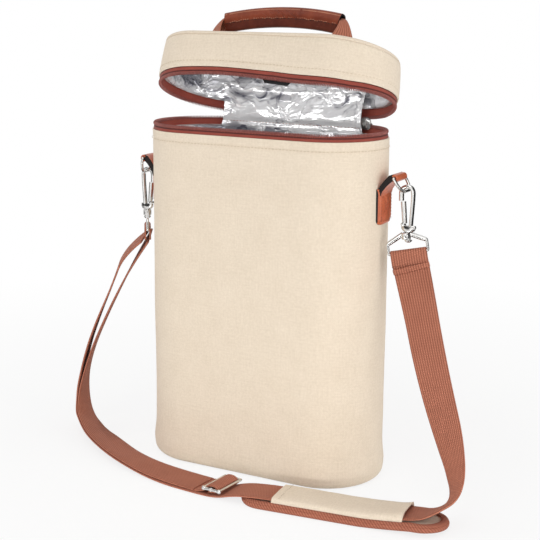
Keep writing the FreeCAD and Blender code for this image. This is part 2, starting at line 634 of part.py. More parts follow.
def frame_shape():
    length = d.barrel_end - d.barrel_top
    barrel = Part.makeCylinder(d.barrel, length, vec(0, 0, -d.barrel_end))
    wire = [vec(d.frame_root, 0, -d.frame_root_drop), vec(d.frame_half, 0, -d.frame_shoulder),
            vec(d.frame_half, 0, -d.frame_bar), vec(-d.frame_half, 0, -d.frame_bar),
            vec(-d.frame_half, 0, -d.frame_shoulder), vec(-d.frame_root, 0, -d.frame_root_drop)]
    bore = Part.makeCylinder(d.barrel_bore, length + 2 * d.overrun, vec(0, 0, -d.barrel_end - d.overrun))
    return merged(barrel, rod(wire, d.frame_wire)).cut(bore)


LOOP_INNER = d.frame_wire + d.bend_gap
LOOP_MIDDLE = LOOP_INNER + d.webbing / 2
LOOP_OUTER = LOOP_INNER + d.webbing


def loop_shape():
    """Fold webbing over the frame's bar, with two legs below it."""
    half = d.strap_width / 2
    fold = Part.makeCylinder(LOOP_OUTER, d.strap_width, vec(-half, 0, -d.frame_bar), X_AXIS)
    fold = fold.common(block(-half, half, -LOOP_OUTER, LOOP_OUTER, -d.frame_bar, -d.frame_bar + LOOP_OUTER))
    legs = [block(-half, half, *sided(side, LOOP_INNER, LOOP_OUTER), -d.frame_bar - d.loop_leg, -d.frame_bar)
            for side in (-1, 1)]
    core_bar = Part.makeCylinder(LOOP_INNER, d.strap_width, vec(-half, 0, -d.frame_bar), X_AXIS)
    return merged(fold, *legs).cut(core_bar)


ring_drop = d.ring_half + d.ring_leg
hook_spots = {}
frame_turns = {}
for name, side, tilt, yaw in (("right", 1, d.ring_tilt_right, d.frame_yaw_right),
                              ("left", -1, d.ring_tilt_left, d.frame_yaw_left)):
    facing = turn(Z_AXIS, 0 if side > 0 else 180)
    lean = math.radians(tilt)
    eye = vec(side * eye_reach, 0, eye_height)
    hook_at = eye + vec(side * ring_drop * math.sin(lean), 0, -ring_drop * math.cos(lean))
    hook_spots[name] = hook_at
    frame_turns[name] = turn(Z_AXIS, yaw)
    piece(f"{name}_tab", tab_shape(), FreeCAD.Placement(CENTRE, facing))
    piece(f"{name}_ring", ring_shape(), FreeCAD.Placement(eye, facing.multiply(turn(Y_AXIS, -tilt))))
    piece(f"{name}_hook", hook_shape(), FreeCAD.Placement(hook_at, facing))
    piece(f"{name}_gate", gate_shape(), FreeCAD.Placement(hook_at, facing))
    piece(f"{name}_strap_frame", frame_shape(), FreeCAD.Placement(hook_at, frame_turns[name]))


# Webbing bands


def smooth_path(route):
    """Round a route's corners with tangent arcs.

    Returns stations as (point, tangent, place along the route) and the radii of the arcs.
    """
    points = [vec(*point) for point, _ in route]
    first = (points[1] - points[0]).normalize()
    stations = [(points[0], first, 0)]
    radii = []
    for number in range(1, len(points) - 1):
        before = points[number] - points[number - 1]
        after = points[number + 1] - points[number]
        setback = ARC_SHARE * min(before.Length, after.Length)
        place_in = number - setback / before.Length
        place_out = number + setback / after.Length
        before.normalize()
        after.normalize()
        bend = before.getAngle(after)
        radius = setback / math.tan(bend / 2)
        radii.append(radius)
        start = points[number] - before * setback
        normal = before.cross(after).normalize()
        hub = start + normal.cross(before) * radius
        steps = max(2, math.ceil(bend / ARC_STEP))
        for step in range(steps + 1):
            share = step / steps
            spin = turn(normal, math.degrees(bend * share))
            point = hub + spin.multVec(start - hub)
            stations.append((point, spin.multVec(before), place_in + (place_out - place_in) * share))
    last = (points[-1] - points[-2]).normalize()
    stations.append((points[-1], last, len(points) - 1))
    return stations, radii


def edge_at(route, place):
    low = min(int(place), len(route) - 2)
    start, end = vec(*route[low][1]), vec(*route[low + 1][1])
    return start + (end - start) * (place - low)


def cross_wire(point, edge, normal, width):
    wide = edge * (width / 2)
    thick = normal * (d.webbing / 2)
    corners = [point - wide - thick, point + wide - thick, point + wide + thick, point - wide + thick]
    return Part.makePolygon(corners + corners[:1])


def band(label, route, start_level, end_level):
    """Run webbing along a route. A level end is cut horizontally, to meet a loop's leg."""
    stations, radii = smooth_path(route)
    wires = []
    length = 0
    for number, (point, tangent, place) in enumerate(stations):
        if (number == 0 and start_level) or (number == len(stations) - 1 and end_level):
            tangent = Z_AXIS if tangent.z > 0 else -Z_AXIS
        edge = edge_at(route, place)
        edge = (edge - tangent * edge.dot(tangent)).normalize()
        wires.append(cross_wire(point, edge, edge.cross(tangent), d.strap_width))
        if number:
            length += (point - stations[number - 1][0]).Length
    shape = Part.makeLoft(wires, True, True)
    section = d.strap_width * d.webbing
    print(label, "length", round(length, 1), "volume share", round(shape.Volume / (section * length), 4),
          "radii", [round(radius, 1) for radius in radii])
    return shape


def beside(route, number):
    """Find the point of the inner layer that lies on a point of the strap."""
    point = vec(*route[number][0])
    ahead = (vec(*route[number + 1][0]) - vec(*route[number - 1][0])).normalize()
    edge = vec(*route[number][1])
    edge = (edge - ahead * edge.dot(ahead)).normalize()
    lifted = point + edge.cross(ahead) * d.return_lift
    return (lifted.x, lifted.y, lifted.z), route[number][1]


def leg_end(name, side):
    """Find the foot of one leg of the loop on a strap frame."""
    leg = vec(0, side * LOOP_MIDDLE, -d.frame_bar - d.loop_leg)
    foot = hook_spots[name] + frame_turns[name].multVec(leg)
    return foot.x, foot.y, foot.z


adjuster_turn = turn(Z_AXIS, d.adjuster_yaw)
adjuster_at = vec(d.adjuster_x, d.adjuster_y, d.adjuster_rise)
roll_inner = d.adjuster_wire + d.bend_gap
roll_outer = roll_inner + d.webbing
tail_end = vec(-d.roll_tail - d.strap_end_gap, 0, -roll_inner - d.webbing / 2)
return_end = adjuster_at + adjuster_turn.multVec(tail_end)

strap_route = list(STRAP_ROUTE)
strap_route[0] = (leg_end("left", -1), STRAP_ROUTE[0][1])
strap_route[-1] = (leg_end("right", 1), STRAP_ROUTE[-1][1])
return_route = [(leg_end("left", 1), RETURN_ROUTE[0][1])] + RETURN_ROUTE[1:]
return_route += [beside(strap_route, number) for number in range(RETURN_JOINS, RETURN_LEAVES - 1)]
return_route.append(((return_end.x, return_end.y, return_end.z), STRAP_ROUTE[RETURN_LEAVES - 1][1]))
piece("shoulder_strap", band("shoulder_strap", strap_route, True, True))
piece("strap_return", band("strap_return", return_route, True, False))

for name in ("right", "left"):
    spot = FreeCAD.Placement(hook_spots[name], frame_turns[name])
    loop = loop_shape()
    if name == "right":
        start = vec(0, -LOOP_MIDDLE, -d.frame_bar - d.loop_leg)
        away = vec(*strap_route[-2][0]) - vec(*strap_route[-1][0])
        away = frame_turns[name].inverted().multVec(away.normalize())
        tail_wires = [cross_wire(start, X_AXIS, Y_AXIS, d.strap_width),
                      cross_wire(start + away * d.tail_length, X_AXIS, Y_AXIS, d.strap_width)]
        loop = merged(loop, Part.makeLoft(tail_wires, True, True))
    piece(f"{name}_strap_loop", loop, spot)

# Slide adjuster with the strap's sewn end round its middle bar.
adjuster_spot = FreeCAD.Placement(adjuster_at, adjuster_turn)
side_y = d.adjuster_side
half_x = d.adjuster_half
corners = ((-half_x, -side_y), (half_x, -side_y), (half_x, side_y), (-half_x, side_y))
outline = [vec(x, y, 0) for x, y in corners]
loop_wire = rod(outline + outline[:1], d.adjuster_wire)
last_corner = Part.makeSphere(d.adjuster_wire, outline[0])
bar = pin(d.adjuster_bar, vec(0, -side_y, 0), vec(0, side_y, 0))
piece("slide_adjuster", merged(loop_wire, last_corner, bar), adjuster_spot)

roll_half = d.roll_width / 2
roll = pin(roll_outer, vec(0, -roll_half, 0), vec(0, roll_half, 0))
roll_sheet = block(-d.roll_tail, 0, -roll_half, roll_half, -roll_outer, -roll_inner)
roll_bore = pin(roll_inner, vec(0, -roll_half - d.overrun, 0), vec(0, roll_half + d.overrun, 0))
piece("strap_end_loop", merged(roll, roll_sheet).cut(roll_bore), adjuster_spot)


# Shoulder pad: crowned core, bound edge and webbing sleeve


def on_pad(item):
    item.setExpression("Placement.Base.x", formula("pad_x"))
    item.setExpression("Placement.Base.y", formula("pad_y"))
    item.setExpression("Placement.Rotation.Axis.x", "0")
    item.setExpression("Placement.Rotation.Axis.y", "0")
    item.setExpression("Placement.Rotation.Axis.z", "1")
    item.setExpression("Placement.Rotation.Angle", formula("pad_yaw"))


def pad_loop(sketch, tag, inset):
    inset_loop(sketch, tag, inset, "pad_length", "pad_width")


core_body = new_body("pad_core")
core_plan = sketch_on(core_body, "plan", "pad_core_low")
pad_loop(core_plan, "outer", "binding + pad_core_gap")
core_pad = raise_pad(core_body, core_plan, "pad_core_rise")
round_edges(core_body, core_pad, d.pad_core_low + d.pad_core_rise, "pad_crown")
on_pad(core_body)

bind_body = new_body("pad_binding")
bind_plan = sketch_on(bind_body, "plan", "binding_low")
pad_loop(bind_plan, "outer", "0")
bind_pad = raise_pad(bind_body, bind_plan, "binding_rise - binding_low")
bind_slot = sketch_on(bind_body, "slot", "binding_low + binding")
pad_loop(bind_slot, "inner", "binding")
bind_window = sketch_on(bind_body, "window", "binding_rise")
pad_loop(bind_window, "mouth", "binding_lip")
cut_pocket(bind_body, bind_window, "binding_rise + overrun")
groove = bind_body.newObject("PartDesign::Pocket", "bind_groove")
groove.Profile = bind_slot
groove.Reversed = True
groove.setExpression("Length", formula("binding_rise - binding_low - 2 * binding"))
doc.recompute()
on_pad(bind_body)

inside = d.sleeve_half - d.sleeve
ceiling = d.sleeve_high - d.sleeve
sleeve_profile = [vec(d.sleeve_left, y, z) for y, z in (
    (-d.sleeve_half, d.sleeve_low), (-d.sleeve_half, d.sleeve_high), (d.sleeve_half, d.sleeve_high),
    (d.sleeve_half, d.sleeve_low), (inside, d.sleeve_low), (inside, ceiling), (-inside, ceiling),
    (-inside, d.sleeve_low))]
piece("pad_sleeve", plate(sleeve_profile, vec(d.sleeve_right - d.sleeve_left, 0, 0)),
      FreeCAD.Placement(vec(d.pad_x, d.pad_y, 0), turn(Z_AXIS, d.pad_yaw)))

doc.recompute()
os.makedirs("parts", exist_ok=True)
for item in doc.Objects:
    if {"Invalid", "Error"} & set(item.State):
        raise ValueError(f"{item.Label} did not build: {item.State}")
for node in nodes:
    if node.Shape.isNull() or not node.Shape.isValid():
        raise ValueError(f"{node.Label} has no valid shape")
    if len(node.Shape.Solids) != 1:
        raise ValueError(f"{node.Label} has {len(node.Shape.Solids)} solids")
    node.Shape.exportStep(f"parts/{node.Label}.step")
    print(node.Label, round(node.Shape.Volume, 1))
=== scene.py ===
"""Looks of the insulated bottle carrier: meshes, finishes, light and camera."""
import logging
import math
from dataclasses import dataclass, field
from enum import Enum
from typing import Callable, Optional, Protocol, Sequence

import bmesh
import bpy
import numpy as np
from mathutils import Euler, Matrix, Vector, noise


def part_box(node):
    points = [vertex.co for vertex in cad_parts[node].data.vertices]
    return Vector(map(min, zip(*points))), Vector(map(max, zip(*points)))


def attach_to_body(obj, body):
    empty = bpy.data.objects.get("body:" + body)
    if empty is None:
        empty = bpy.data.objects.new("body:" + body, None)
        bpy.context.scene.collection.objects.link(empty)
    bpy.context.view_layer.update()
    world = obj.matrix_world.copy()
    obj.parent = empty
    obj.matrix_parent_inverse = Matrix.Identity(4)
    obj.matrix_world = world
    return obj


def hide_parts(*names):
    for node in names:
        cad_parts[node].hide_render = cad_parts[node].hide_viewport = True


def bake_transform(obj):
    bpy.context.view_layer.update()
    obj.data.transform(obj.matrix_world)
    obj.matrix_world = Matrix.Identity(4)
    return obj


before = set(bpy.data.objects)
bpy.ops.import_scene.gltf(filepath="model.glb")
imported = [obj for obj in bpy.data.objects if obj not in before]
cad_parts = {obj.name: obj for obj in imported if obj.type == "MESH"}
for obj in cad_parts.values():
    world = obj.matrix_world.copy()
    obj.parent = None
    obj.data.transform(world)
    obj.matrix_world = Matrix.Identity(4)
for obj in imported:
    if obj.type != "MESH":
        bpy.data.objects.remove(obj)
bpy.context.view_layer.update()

MM = 0.001
TURN = 2 * math.pi
LOG = logging.getLogger("carrier")

Colour = tuple[float, float, float]
Point = tuple[float, float, float]
Line = tuple[np.ndarray, np.ndarray]
Material = bpy.types.Material
Piece = bpy.types.Object

TAPE_INSETS = (1.6, 2.4, 2.4, 2.0, 1.5, 1.35, 1.7, 1.75, 1.3, 1.02, 1.1, 1.55)
# Tape columns painted darker: painted shade in the tape's fold and under the canvas edge.
TAPE_SHADED_FOLDS = (5, 6, 7, 10, 11)
DOWN = np.array([0.0, 0.0, -1.0])
UP = np.array([0.0, 0.0, 1.0])
FRONT = np.array([0.0, -1.0, 0.0])


class Signal:
    """One socket of a finish, used in sums as if it were a number."""

    def __init__(self, tree: "FinishTree", socket: bpy.types.NodeSocket) -> None:
        """Keep the socket and the tree it belongs to."""
        self.tree = tree
        self.socket = socket

    def joined(self, operation: str, other: "Signal | float", swapped: bool = False) -> "Signal":
        """Join this value with another one in a Math node.

        Args:
            operation: The Math node's operation.
            other: The second value.
            swapped: True where the other value comes first.

        Returns:
            The result.
        """
        first, second = (other, self) if swapped else (self, other)
        return self.tree.node("ShaderNodeMath", {"operation": operation}, {0: first, 1: second})

    def __add__(self, other: "Signal | float") -> "Signal":
        """Add."""
        return self.joined("ADD", other)

    def __radd__(self, other: float) -> "Signal":
        """Add to a number."""
        return self.joined("ADD", other)

    def __sub__(self, other: "Signal | float") -> "Signal":
        """Subtract."""
        return self.joined("SUBTRACT", other)

    def __rsub__(self, other: float) -> "Signal":
        """Subtract from a number."""
        return self.joined("SUBTRACT", other, True)

    def __mul__(self, other: "Signal | float") -> "Signal":
        """Multiply."""
        return self.joined("MULTIPLY", other)

    def __pow__(self, other: "Signal | float") -> "Signal":
        """Raise to a power."""
        return self.joined("POWER", other)

    def sine(self) -> "Signal":
        """Give the sine."""
        return self.tree.node("ShaderNodeMath", {"operation": "SINE"}, {0: self})

    def size(self) -> "Signal":
        """Give the value without its sign."""
        return self.tree.node("ShaderNodeMath", {"operation": "ABSOLUTE"}, {0: self})

    def wave(self, pitch: float) -> "Signal":
        """Give a sine of this length with the given pitch."""
        return (self * (TURN / pitch)).sine()

    def ramp(self, low: float, high: float) -> "Signal":
        """Spread the values between low and high over 0 to 1."""
        return self.tree.node("ShaderNodeMapRange", {"clamp": True}, {0: self, 1: low, 2: high})

    def output(self, name: str) -> "Signal":
        """Give another output of the same node."""
        return Signal(self.tree, self.socket.node.outputs[name])


class FinishTree:
    """A material's node tree around one Principled shader."""

    def __init__(self, name: str) -> None:
        """Start an empty material with its shader.

        Args:
            name: The material's name.
        """
        self.material = bpy.data.materials.new(name)
        self.material.use_nodes = True
        self.nodes = self.material.node_tree.nodes
        self.links = self.material.node_tree.links
        self.nodes.clear()
        self.surface = self.nodes.new("ShaderNodeOutputMaterial")
        self.shader = self.nodes.new("ShaderNodeBsdfPrincipled")
        self.links.new(self.shader.outputs[0], self.surface.inputs[0])

    def node(self, kind: str, settings: Optional[dict] = None, sockets: Optional[dict] = None,
             output: int | str = 0) -> Signal:
        """Add any node.

        Args:
            kind: The node's type.
            settings: Its properties, set first.
            sockets: Values or signals by socket name or number.
            output: The output to hand back.

        Returns:
            The chosen output.
        """
        node = self.nodes.new(kind)
        for key, value in (settings or {}).items():
            setattr(node, key, value)
        for key, value in (sockets or {}).items():
            if isinstance(value, Signal):
                self.links.new(value.socket, node.inputs[key])
            else:
                node.inputs[key].default_value = value
        return Signal(self, node.outputs[output])

    def put(self, **values: "Signal | float | tuple") -> None:
        """Set or link the shader's sockets.

        Args:
            values: Values or signals by socket name, with underscores for spaces.
        """
        for key, value in values.items():
            socket = self.shader.inputs[key.replace("_", " ")]
            if isinstance(value, Signal):
                self.links.new(value.socket, socket)
            elif isinstance(value, tuple):
                socket.default_value = (*value, 1)
            else:
                socket.default_value = value

    def mixed(self, share: "Signal | float", first: "Signal | Colour", second: "Signal | Colour") -> Signal:
        """Mix two colours.

        Args:
            share: How much of the second colour shows.
            first: A colour or a signal.
            second: A colour or a signal.

        Returns:
            The mixed colour.
        """
        pair = [(*item, 1) if isinstance(item, tuple) else item for item in (first, second)]
        return self.node("ShaderNodeMix", {"data_type": "RGBA"}, {0: share, 6: pair[0], 7: pair[1]}, 2)

    def object_place(self) -> Signal:
        """Give Object coordinates."""
        return self.node("ShaderNodeTexCoord", output="Object")

    def flat_place(self) -> tuple[Signal, Signal]:
        """Give the UV map's two lengths, in metres."""
        place = self.node("ShaderNodeSeparateXYZ", sockets={0: self.node("ShaderNodeTexCoord", output="UV")})
        return place, place.output("Y")

    def joined_place(self, across: "Signal | float", along: "Signal | float") -> Signal:
        """Make a vector of two lengths."""
        return self.node("ShaderNodeCombineXYZ", sockets={0: across, 1: along})

    def speckle(self, place: Signal, scale: float, detail: float = 2, rough: float = 0.5) -> Signal:
        """Add noise.

        Args:
            place: Coordinates in metres.
            scale: Features per metre.
            detail: Octaves.
            rough: How strong the finer octaves are.

        Returns:
            The noise value.
        """
        return self.node("ShaderNodeTexNoise", sockets={
            "Vector": place, "Scale": scale, "Detail": detail, "Roughness": rough})

    def relief(self, height: Signal, depth: float, strength: float = 1) -> None:
        """Bump the surface by a height from 0 to 1.

        Args:
            height: The height.
            depth: What a height of 1 stands for, in millimetres.
            strength: The bump's strength.
        """
        bump = self.node("ShaderNodeBump", sockets={"Strength": strength, "Distance": depth * MM,
                                                    "Height": height})
        self.put(Normal=bump)


@dataclass(frozen=True)
class Canvas:
    """Plain-woven cotton canvas."""

    name: str
    colour: Colour
    shade: Colour
    pitch: float = 0.75
    depth: float = 0.16

    def material(self) -> Material:
        """Build the finish on UV lengths.

        Returns:
            The material.
        """
        tree = FinishTree(self.name)
        across, along = tree.flat_place()
        weave = across.wave(2 * self.pitch * MM) * along.wave(2 * self.pitch * MM)
        warp = tree.speckle(tree.joined_place(across * 1400, along * 60), 1, 3)
        weft = tree.speckle(tree.joined_place(across * 60, along * 1400), 1, 3)
        cloud = tree.speckle(tree.joined_place(across, along), 42, 4, 0.6)
        slub = tree.speckle(tree.joined_place(across, along), 520, 2, 0.6)
        yarn = warp * 0.5 + weft * 0.5
        share = (0.05 + yarn.ramp(0.36, 0.66) * 0.4 + slub.ramp(0.34, 0.66) * 0.35
                 + cloud.ramp(0.3, 0.72) * 0.2 + weave * 0.12).ramp(0, 1)
        tree.put(Base_Color=tree.mixed(share, self.shade, self.colour), Roughness=0.92 - yarn * 0.12)
        tree.put(Sheen_Weight=0.12, Sheen_Roughness=0.5, Specular_IOR_Level=0.2)
        tree.relief(weave * 0.35 + yarn * 0.8 + cloud * 0.3, self.depth, 0.6)
        return tree.material


@dataclass(frozen=True)
class Webbing:
    """Ribbed woven webbing: ribs run along it, fine picks cross it; its colour is painted darker in the rib
    valleys as painted shade.
    """

    name: str
    colour: Colour
    # groove: the painted shade colour of the rib valleys
    groove: Colour
    rib: float = 2.0
    pick: float = 1.3
    slant: float = 0.0

    def material(self) -> Material:
        """Build the finish on UV lengths.

        Returns:
            The material.
        """
        tree = FinishTree(self.name)
        across, along = tree.flat_place()
        across = across + along * self.slant
        rib = (across * (math.pi / (self.rib * MM))).sine().size()
        side = (across * (math.pi / (self.rib * MM))).sine().ramp(-0.05, 0.05)
        pick = (along * (TURN / (self.pick * MM)) + side * math.pi).sine() * 0.5 + 0.5
        fuzz = tree.speckle(tree.joined_place(across * 1800, along * 700), 1, 3)
        cloud = tree.speckle(tree.joined_place(across, along), 55, 3)
        height = rib ** 0.6 * (0.62 + pick * 0.38)
        # Painted shade: the colour goes to the groove colour where the rib height is low; fuzz and cloud add
        # random tone.
        share = (height * 0.85 + fuzz * 0.2 + cloud * 0.2 - 0.2).ramp(0.0, 0.9)
        tree.put(Base_Color=tree.mixed(share, self.groove, self.colour), Roughness=0.86 - height * 0.16)
        tree.put(Sheen_Weight=0.04, Sheen_Roughness=0.4, Specular_IOR_Level=0.2)
        tree.relief(height + fuzz * 0.25, 0.28, 0.7)
        return tree.material


@dataclass(frozen=True)
class Leather:
    """Glossy smooth leather with a fine grain and pulled-up lighter places."""

    name: str
    colour: Colour
    dark: Colour
    pale: Colour
    gloss: float = 0.30
    coat: float = 0.06
    shine: float = 0.22

    def material(self) -> Material:
        """Build the finish on Object coordinates.

        Returns:
            The material.
        """
        tree = FinishTree(self.name)
        place = tree.object_place()
        grain = tree.node("ShaderNodeTexVoronoi", {"feature": "DISTANCE_TO_EDGE"},
                          {"Vector": place, "Scale": 950, "Randomness": 1}).ramp(0, 0.22)
        cloud = tree.speckle(place, 75, 4, 0.6)
        fleck = tree.speckle(place, 420, 3, 0.6)
        base = tree.mixed(cloud.ramp(0.32, 0.68), self.dark, self.colour)
        base = tree.mixed(fleck.ramp(0.58, 0.8) * 0.45, base, self.pale)
        tree.put(Base_Color=base, Roughness=self.gloss + cloud * 0.12 + (1 - grain) * 0.12,
                 Coat_Weight=self.coat, Coat_Roughness=0.15, Specular_IOR_Level=self.shine)
        tree.relief(grain * 0.7 + fleck * 0.5, 0.09, 0.55)
        return tree.material


@dataclass(frozen=True)
class Metal:
    """Polished plated metal with fine rubbed marks."""

    name: str
    colour: Colour
    dull: Colour
    rough: float = 0.1

    def material(self) -> Material:
        """Build the finish on Object coordinates.

        Returns:
            The material.
        """
        tree = FinishTree(self.name)
        place = tree.object_place()
        stretch = tree.node("ShaderNodeMapping", sockets={"Vector": place, "Scale": (1, 1, 0.12)})
        rub = tree.speckle(stretch, 2600, 3, 0.6)
        cloud = tree.speckle(place, 160, 3)
        tree.put(Base_Color=tree.mixed(cloud.ramp(0.35, 0.7) * 0.6, self.colour, self.dull),
                 Metallic=1.0, Roughness=self.rough + rub * 0.06 + cloud.ramp(0.45, 0.75) * 0.1)
        tree.relief(rub, 0.012, 0.5)
        return tree.material


@dataclass(frozen=True)
class Foil:
    """Soft metallised film with broad folds and a few sharp creases; its colour is painted dark along the
    creases and in broad patches, as painted shade and painted dark reflections.
    """

    name: str
    colour: Colour = (0.96, 0.96, 0.97)
    # crease: the painted shade colour of the crease lines and dark patches
    crease: Colour = (0.15, 0.15, 0.18)
    metal: float = 0.55
    calm: float = 0.54

    def material(self) -> Material:
        """Build the finish on Object coordinates.

        Returns:
            The material.
        """
        tree = FinishTree(self.name)
        place = tree.object_place()
        drift = tree.speckle(place, 26, 2)
        bent = tree.node("ShaderNodeVectorMath", {"operation": "MULTIPLY_ADD"}, {
            0: tree.node("ShaderNodeCombineXYZ", sockets={0: drift, 1: drift, 2: drift}),
            1: (0.045, 0.045, 0.045), 2: tree.node("ShaderNodeMapping", sockets={
                "Vector": place, "Scale": (0.42, 1.0, 1.0)})})
        folds = tree.speckle(bent, 62, 3, 0.5)
        ridge = 1 - (folds * 2 - 1).size() * 2.2
        cloud = tree.speckle(bent, 44, 2, 0.5)
        fine = tree.speckle(bent, 260, 3)
        # Painted shade and painted reflection: the colour darkens along crease lines and in broad cloud
        # patches.
        marks = ridge.ramp(0.84, 0.98) * fine.ramp(0.42, 0.6) * 0.6
        shade = (cloud.ramp(self.calm, self.calm + 0.08) * 0.8 + marks).ramp(0, 1)
        tree.put(Base_Color=tree.mixed(shade, self.colour, self.crease), Metallic=self.metal,
                 Roughness=0.13 + shade * 0.1 + fine * 0.06)
        tree.relief(folds + ridge.ramp(0, 1) * 0.4 + fine * 0.08, 4.0, 0.85)
        return tree.material


@dataclass(frozen=True)
class Tape:
    """Close-woven zip tape with a fine herringbone."""

    name: str
    colour: Colour
    dark: Colour

    def material(self) -> Material:
        """Build the finish on UV lengths.

        Returns:
            The material.
        """
        tree = FinishTree(self.name)
        across, along = tree.flat_place()
        twill = (across + along).wave(0.9 * MM) * 0.5 + (across - along).wave(0.9 * MM) * 0.5
        fuzz = tree.speckle(tree.joined_place(across, along), 900, 3)
        cloud = tree.speckle(tree.joined_place(across, along), 60, 3)
        share = (twill * 0.18 + fuzz * 0.5 + cloud * 0.5).ramp(0.2, 0.85)
        tree.put(Base_Color=tree.mixed(share, self.dark, self.colour), Roughness=0.7 + fuzz * 0.15)
        tree.put(Sheen_Weight=0.1, Specular_IOR_Level=0.35)
        tree.relief(twill * 0.5 + fuzz * 0.5, 0.1, 0.5)
        return tree.material


@dataclass(frozen=True)
class Moulded:
    """Extruded, foamed or moulded plastic with a light mottle."""

    name: str
    colour: Colour
    dark: Colour
    rough: float = 0.45
    grain: float = 500

    def material(self) -> Material:
        """Build the finish on Object coordinates.

        Returns:
            The material.
        """
        tree = FinishTree(self.name)
        place = tree.object_place()
        fine = tree.speckle(place, self.grain, 3)
        tree.put(Base_Color=tree.mixed(fine.ramp(0.35, 0.7), self.dark, self.colour),
                 Roughness=self.rough + fine * 0.15)
        tree.relief(fine, 0.06, 0.5)
        return tree.material


class Finish(Protocol):
    """Whatever builds a material."""

    def material(self) -> Material:
        """Build the material."""


def built(finish_used: Finish) -> Material:
    """Make a palette's field, whose material is built together with the palette."""
    return field(default_factory=finish_used.material)


@dataclass(frozen=True)
class Palette:
    """All finishes of the carrier, each built once."""

    canvas: Material = built(Canvas("cream_canvas", (0.83, 0.722, 0.588), (0.675, 0.568, 0.440)))
    # The webbing and the binding pair a yarn colour with a painted shade colour for their rib valleys.
    webbing: Material = built(Webbing("terracotta_webbing", (0.565, 0.216, 0.135), (0.145, 0.038, 0.022)))
    binding: Material = built(Webbing("twill_binding", (0.53, 0.194, 0.121), (0.165, 0.045, 0.026),
                                      2.5, 1.0, 0.75))
    grip: Material = built(Leather("wrapped_leather", (0.262, 0.053, 0.0215),
                                   (0.158, 0.0285, 0.0125), (0.34, 0.10, 0.05), 0.24, 0.12, 0.22))
    under: Material = built(Leather("shaded_leather", (0.145, 0.027, 0.012), (0.085, 0.015, 0.008),
                                    (0.24, 0.07, 0.04), 0.26, 0.1, 0.22))
    # Painted highlight: a lighter leather for the bright line under the grip's top edge and along its seam.
    painted_highlight: Material = built(Leather("highlight_leather", (0.47, 0.19, 0.11), (0.32, 0.11, 0.06),
                                   (0.58, 0.32, 0.22), 0.30, 0.1, 0.3))
    tab: Material = built(Leather("tab_leather", (0.57, 0.140, 0.058), (0.44, 0.100, 0.041),
                                  (0.64, 0.24, 0.12), 0.24, 0.12, 0.4))
    edge: Material = built(Leather("painted_edge", (0.016, 0.010, 0.009), (0.008, 0.006, 0.006),
                                   (0.05, 0.03, 0.025), 0.35, 0.2))
    chrome: Material = built(Metal("polished_nickel", (0.76, 0.75, 0.73), (0.46, 0.45, 0.44)))
    slider: Material = built(Metal("zip_nickel", (0.62, 0.62, 0.60), (0.40, 0.40, 0.40), 0.2))
    # Both foils have painted shade in their creases and painted dark reflections in patches.
    foil: Material = built(Foil("creased_foil"))
    film: Material = built(Foil("hinge_film", (0.98, 0.98, 0.98), (0.13, 0.13, 0.16), 0.40, 0.565))
    tape: Material = built(Tape("zip_tape", (0.38, 0.078, 0.050), (0.19, 0.032, 0.022)))
    # groove is the zip tape's painted shade, for its fold and the strip under the canvas edge.
    groove: Material = built(Tape("tape_fold_shade", (0.12, 0.022, 0.016), (0.07, 0.013, 0.011)))
    coil: Material = built(Moulded("zip_coil", (0.36, 0.125, 0.105), (0.23, 0.065, 0.052), 0.4, 900))
    label: Material = built(Canvas("label_weave", (0.022, 0.020, 0.021), (0.010, 0.010, 0.010), 0.5, 0.1))
    foam: Material = built(Moulded("foam", (0.74, 0.73, 0.70), (0.55, 0.54, 0.52), 0.8, 1500))
    board: Material = built(Moulded("board", (0.30, 0.26, 0.21), (0.20, 0.17, 0.13), 0.7, 700))
    thread: Material = built(Moulded("cream_thread", (0.72, 0.60, 0.45), (0.56, 0.45, 0.32), 0.7, 2500))
    seam: Material = built(Moulded("tan_thread", (0.40, 0.28, 0.18), (0.28, 0.19, 0.12), 0.7, 2500))
    dark_thread: Material = built(Moulded("brown_thread", (0.30, 0.115, 0.070),
                                          (0.19, 0.060, 0.034), 0.6, 2500))


def unit(vectors: np.ndarray) -> np.ndarray:
    """Bring vectors to length one along the last axis."""
    return vectors / np.maximum(np.linalg.norm(vectors, axis=-1, keepdims=True), 1e-9)


def headings(line: np.ndarray, closed: bool = False) -> np.ndarray:
    """Give the direction of travel at each point of a line.

    Args:
        line: Points, one per row.
        closed: True where the line returns to its start.

    Returns:
        Unit vectors.
    """
    if closed:
        return unit(np.roll(line, -1, 0) - np.roll(line, 1, 0))
    return unit(np.gradient(line, axis=0))


def ribbed(line: np.ndarray, side: np.ndarray, sections: np.ndarray, closed: bool = False) -> np.ndarray:
    """Set cross-sections along a line.

    Args:
        line: Centre points in millimetres.
        side: The direction of a section's first coordinate, one or one per point.
        sections: Section points (across, up), one set or one set per point.
        closed: True where the line returns to its start.

    Returns:
        Rows of points, one row per centre point.
    """
    ahead = headings(line, closed)
    side = np.broadcast_to(np.asarray(side, float), line.shape)
    side = unit(side - ahead * np.sum(side * ahead, axis=1, keepdims=True))
    above = np.cross(side, ahead)
    sections = np.asarray(sections, float)
    if sections.ndim == 2:
        sections = np.broadcast_to(sections, (len(line), *sections.shape))
    return (line[:, None, :] + sections[:, :, :1] * side[:, None, :]
            + sections[:, :, 1:] * above[:, None, :])


def oval(wide: float, high: float, power: float = 2.0, count: int = 16) -> np.ndarray:
    """Give a rounded section.

    Args:
        wide: Half the width.
        high: Half the height.
        power: 2 for an ellipse, more for a fuller form.
        count: Number of points.

    Returns:
        Points (across, up).
    """
    angles = np.arange(count) * TURN / count
    cosine, sine = np.cos(angles), np.sin(angles)
    return np.stack([wide * np.sign(cosine) * np.abs(cosine) ** (2 / power),
                     high * np.sign(sine) * np.abs(sine) ** (2 / power)], axis=1)


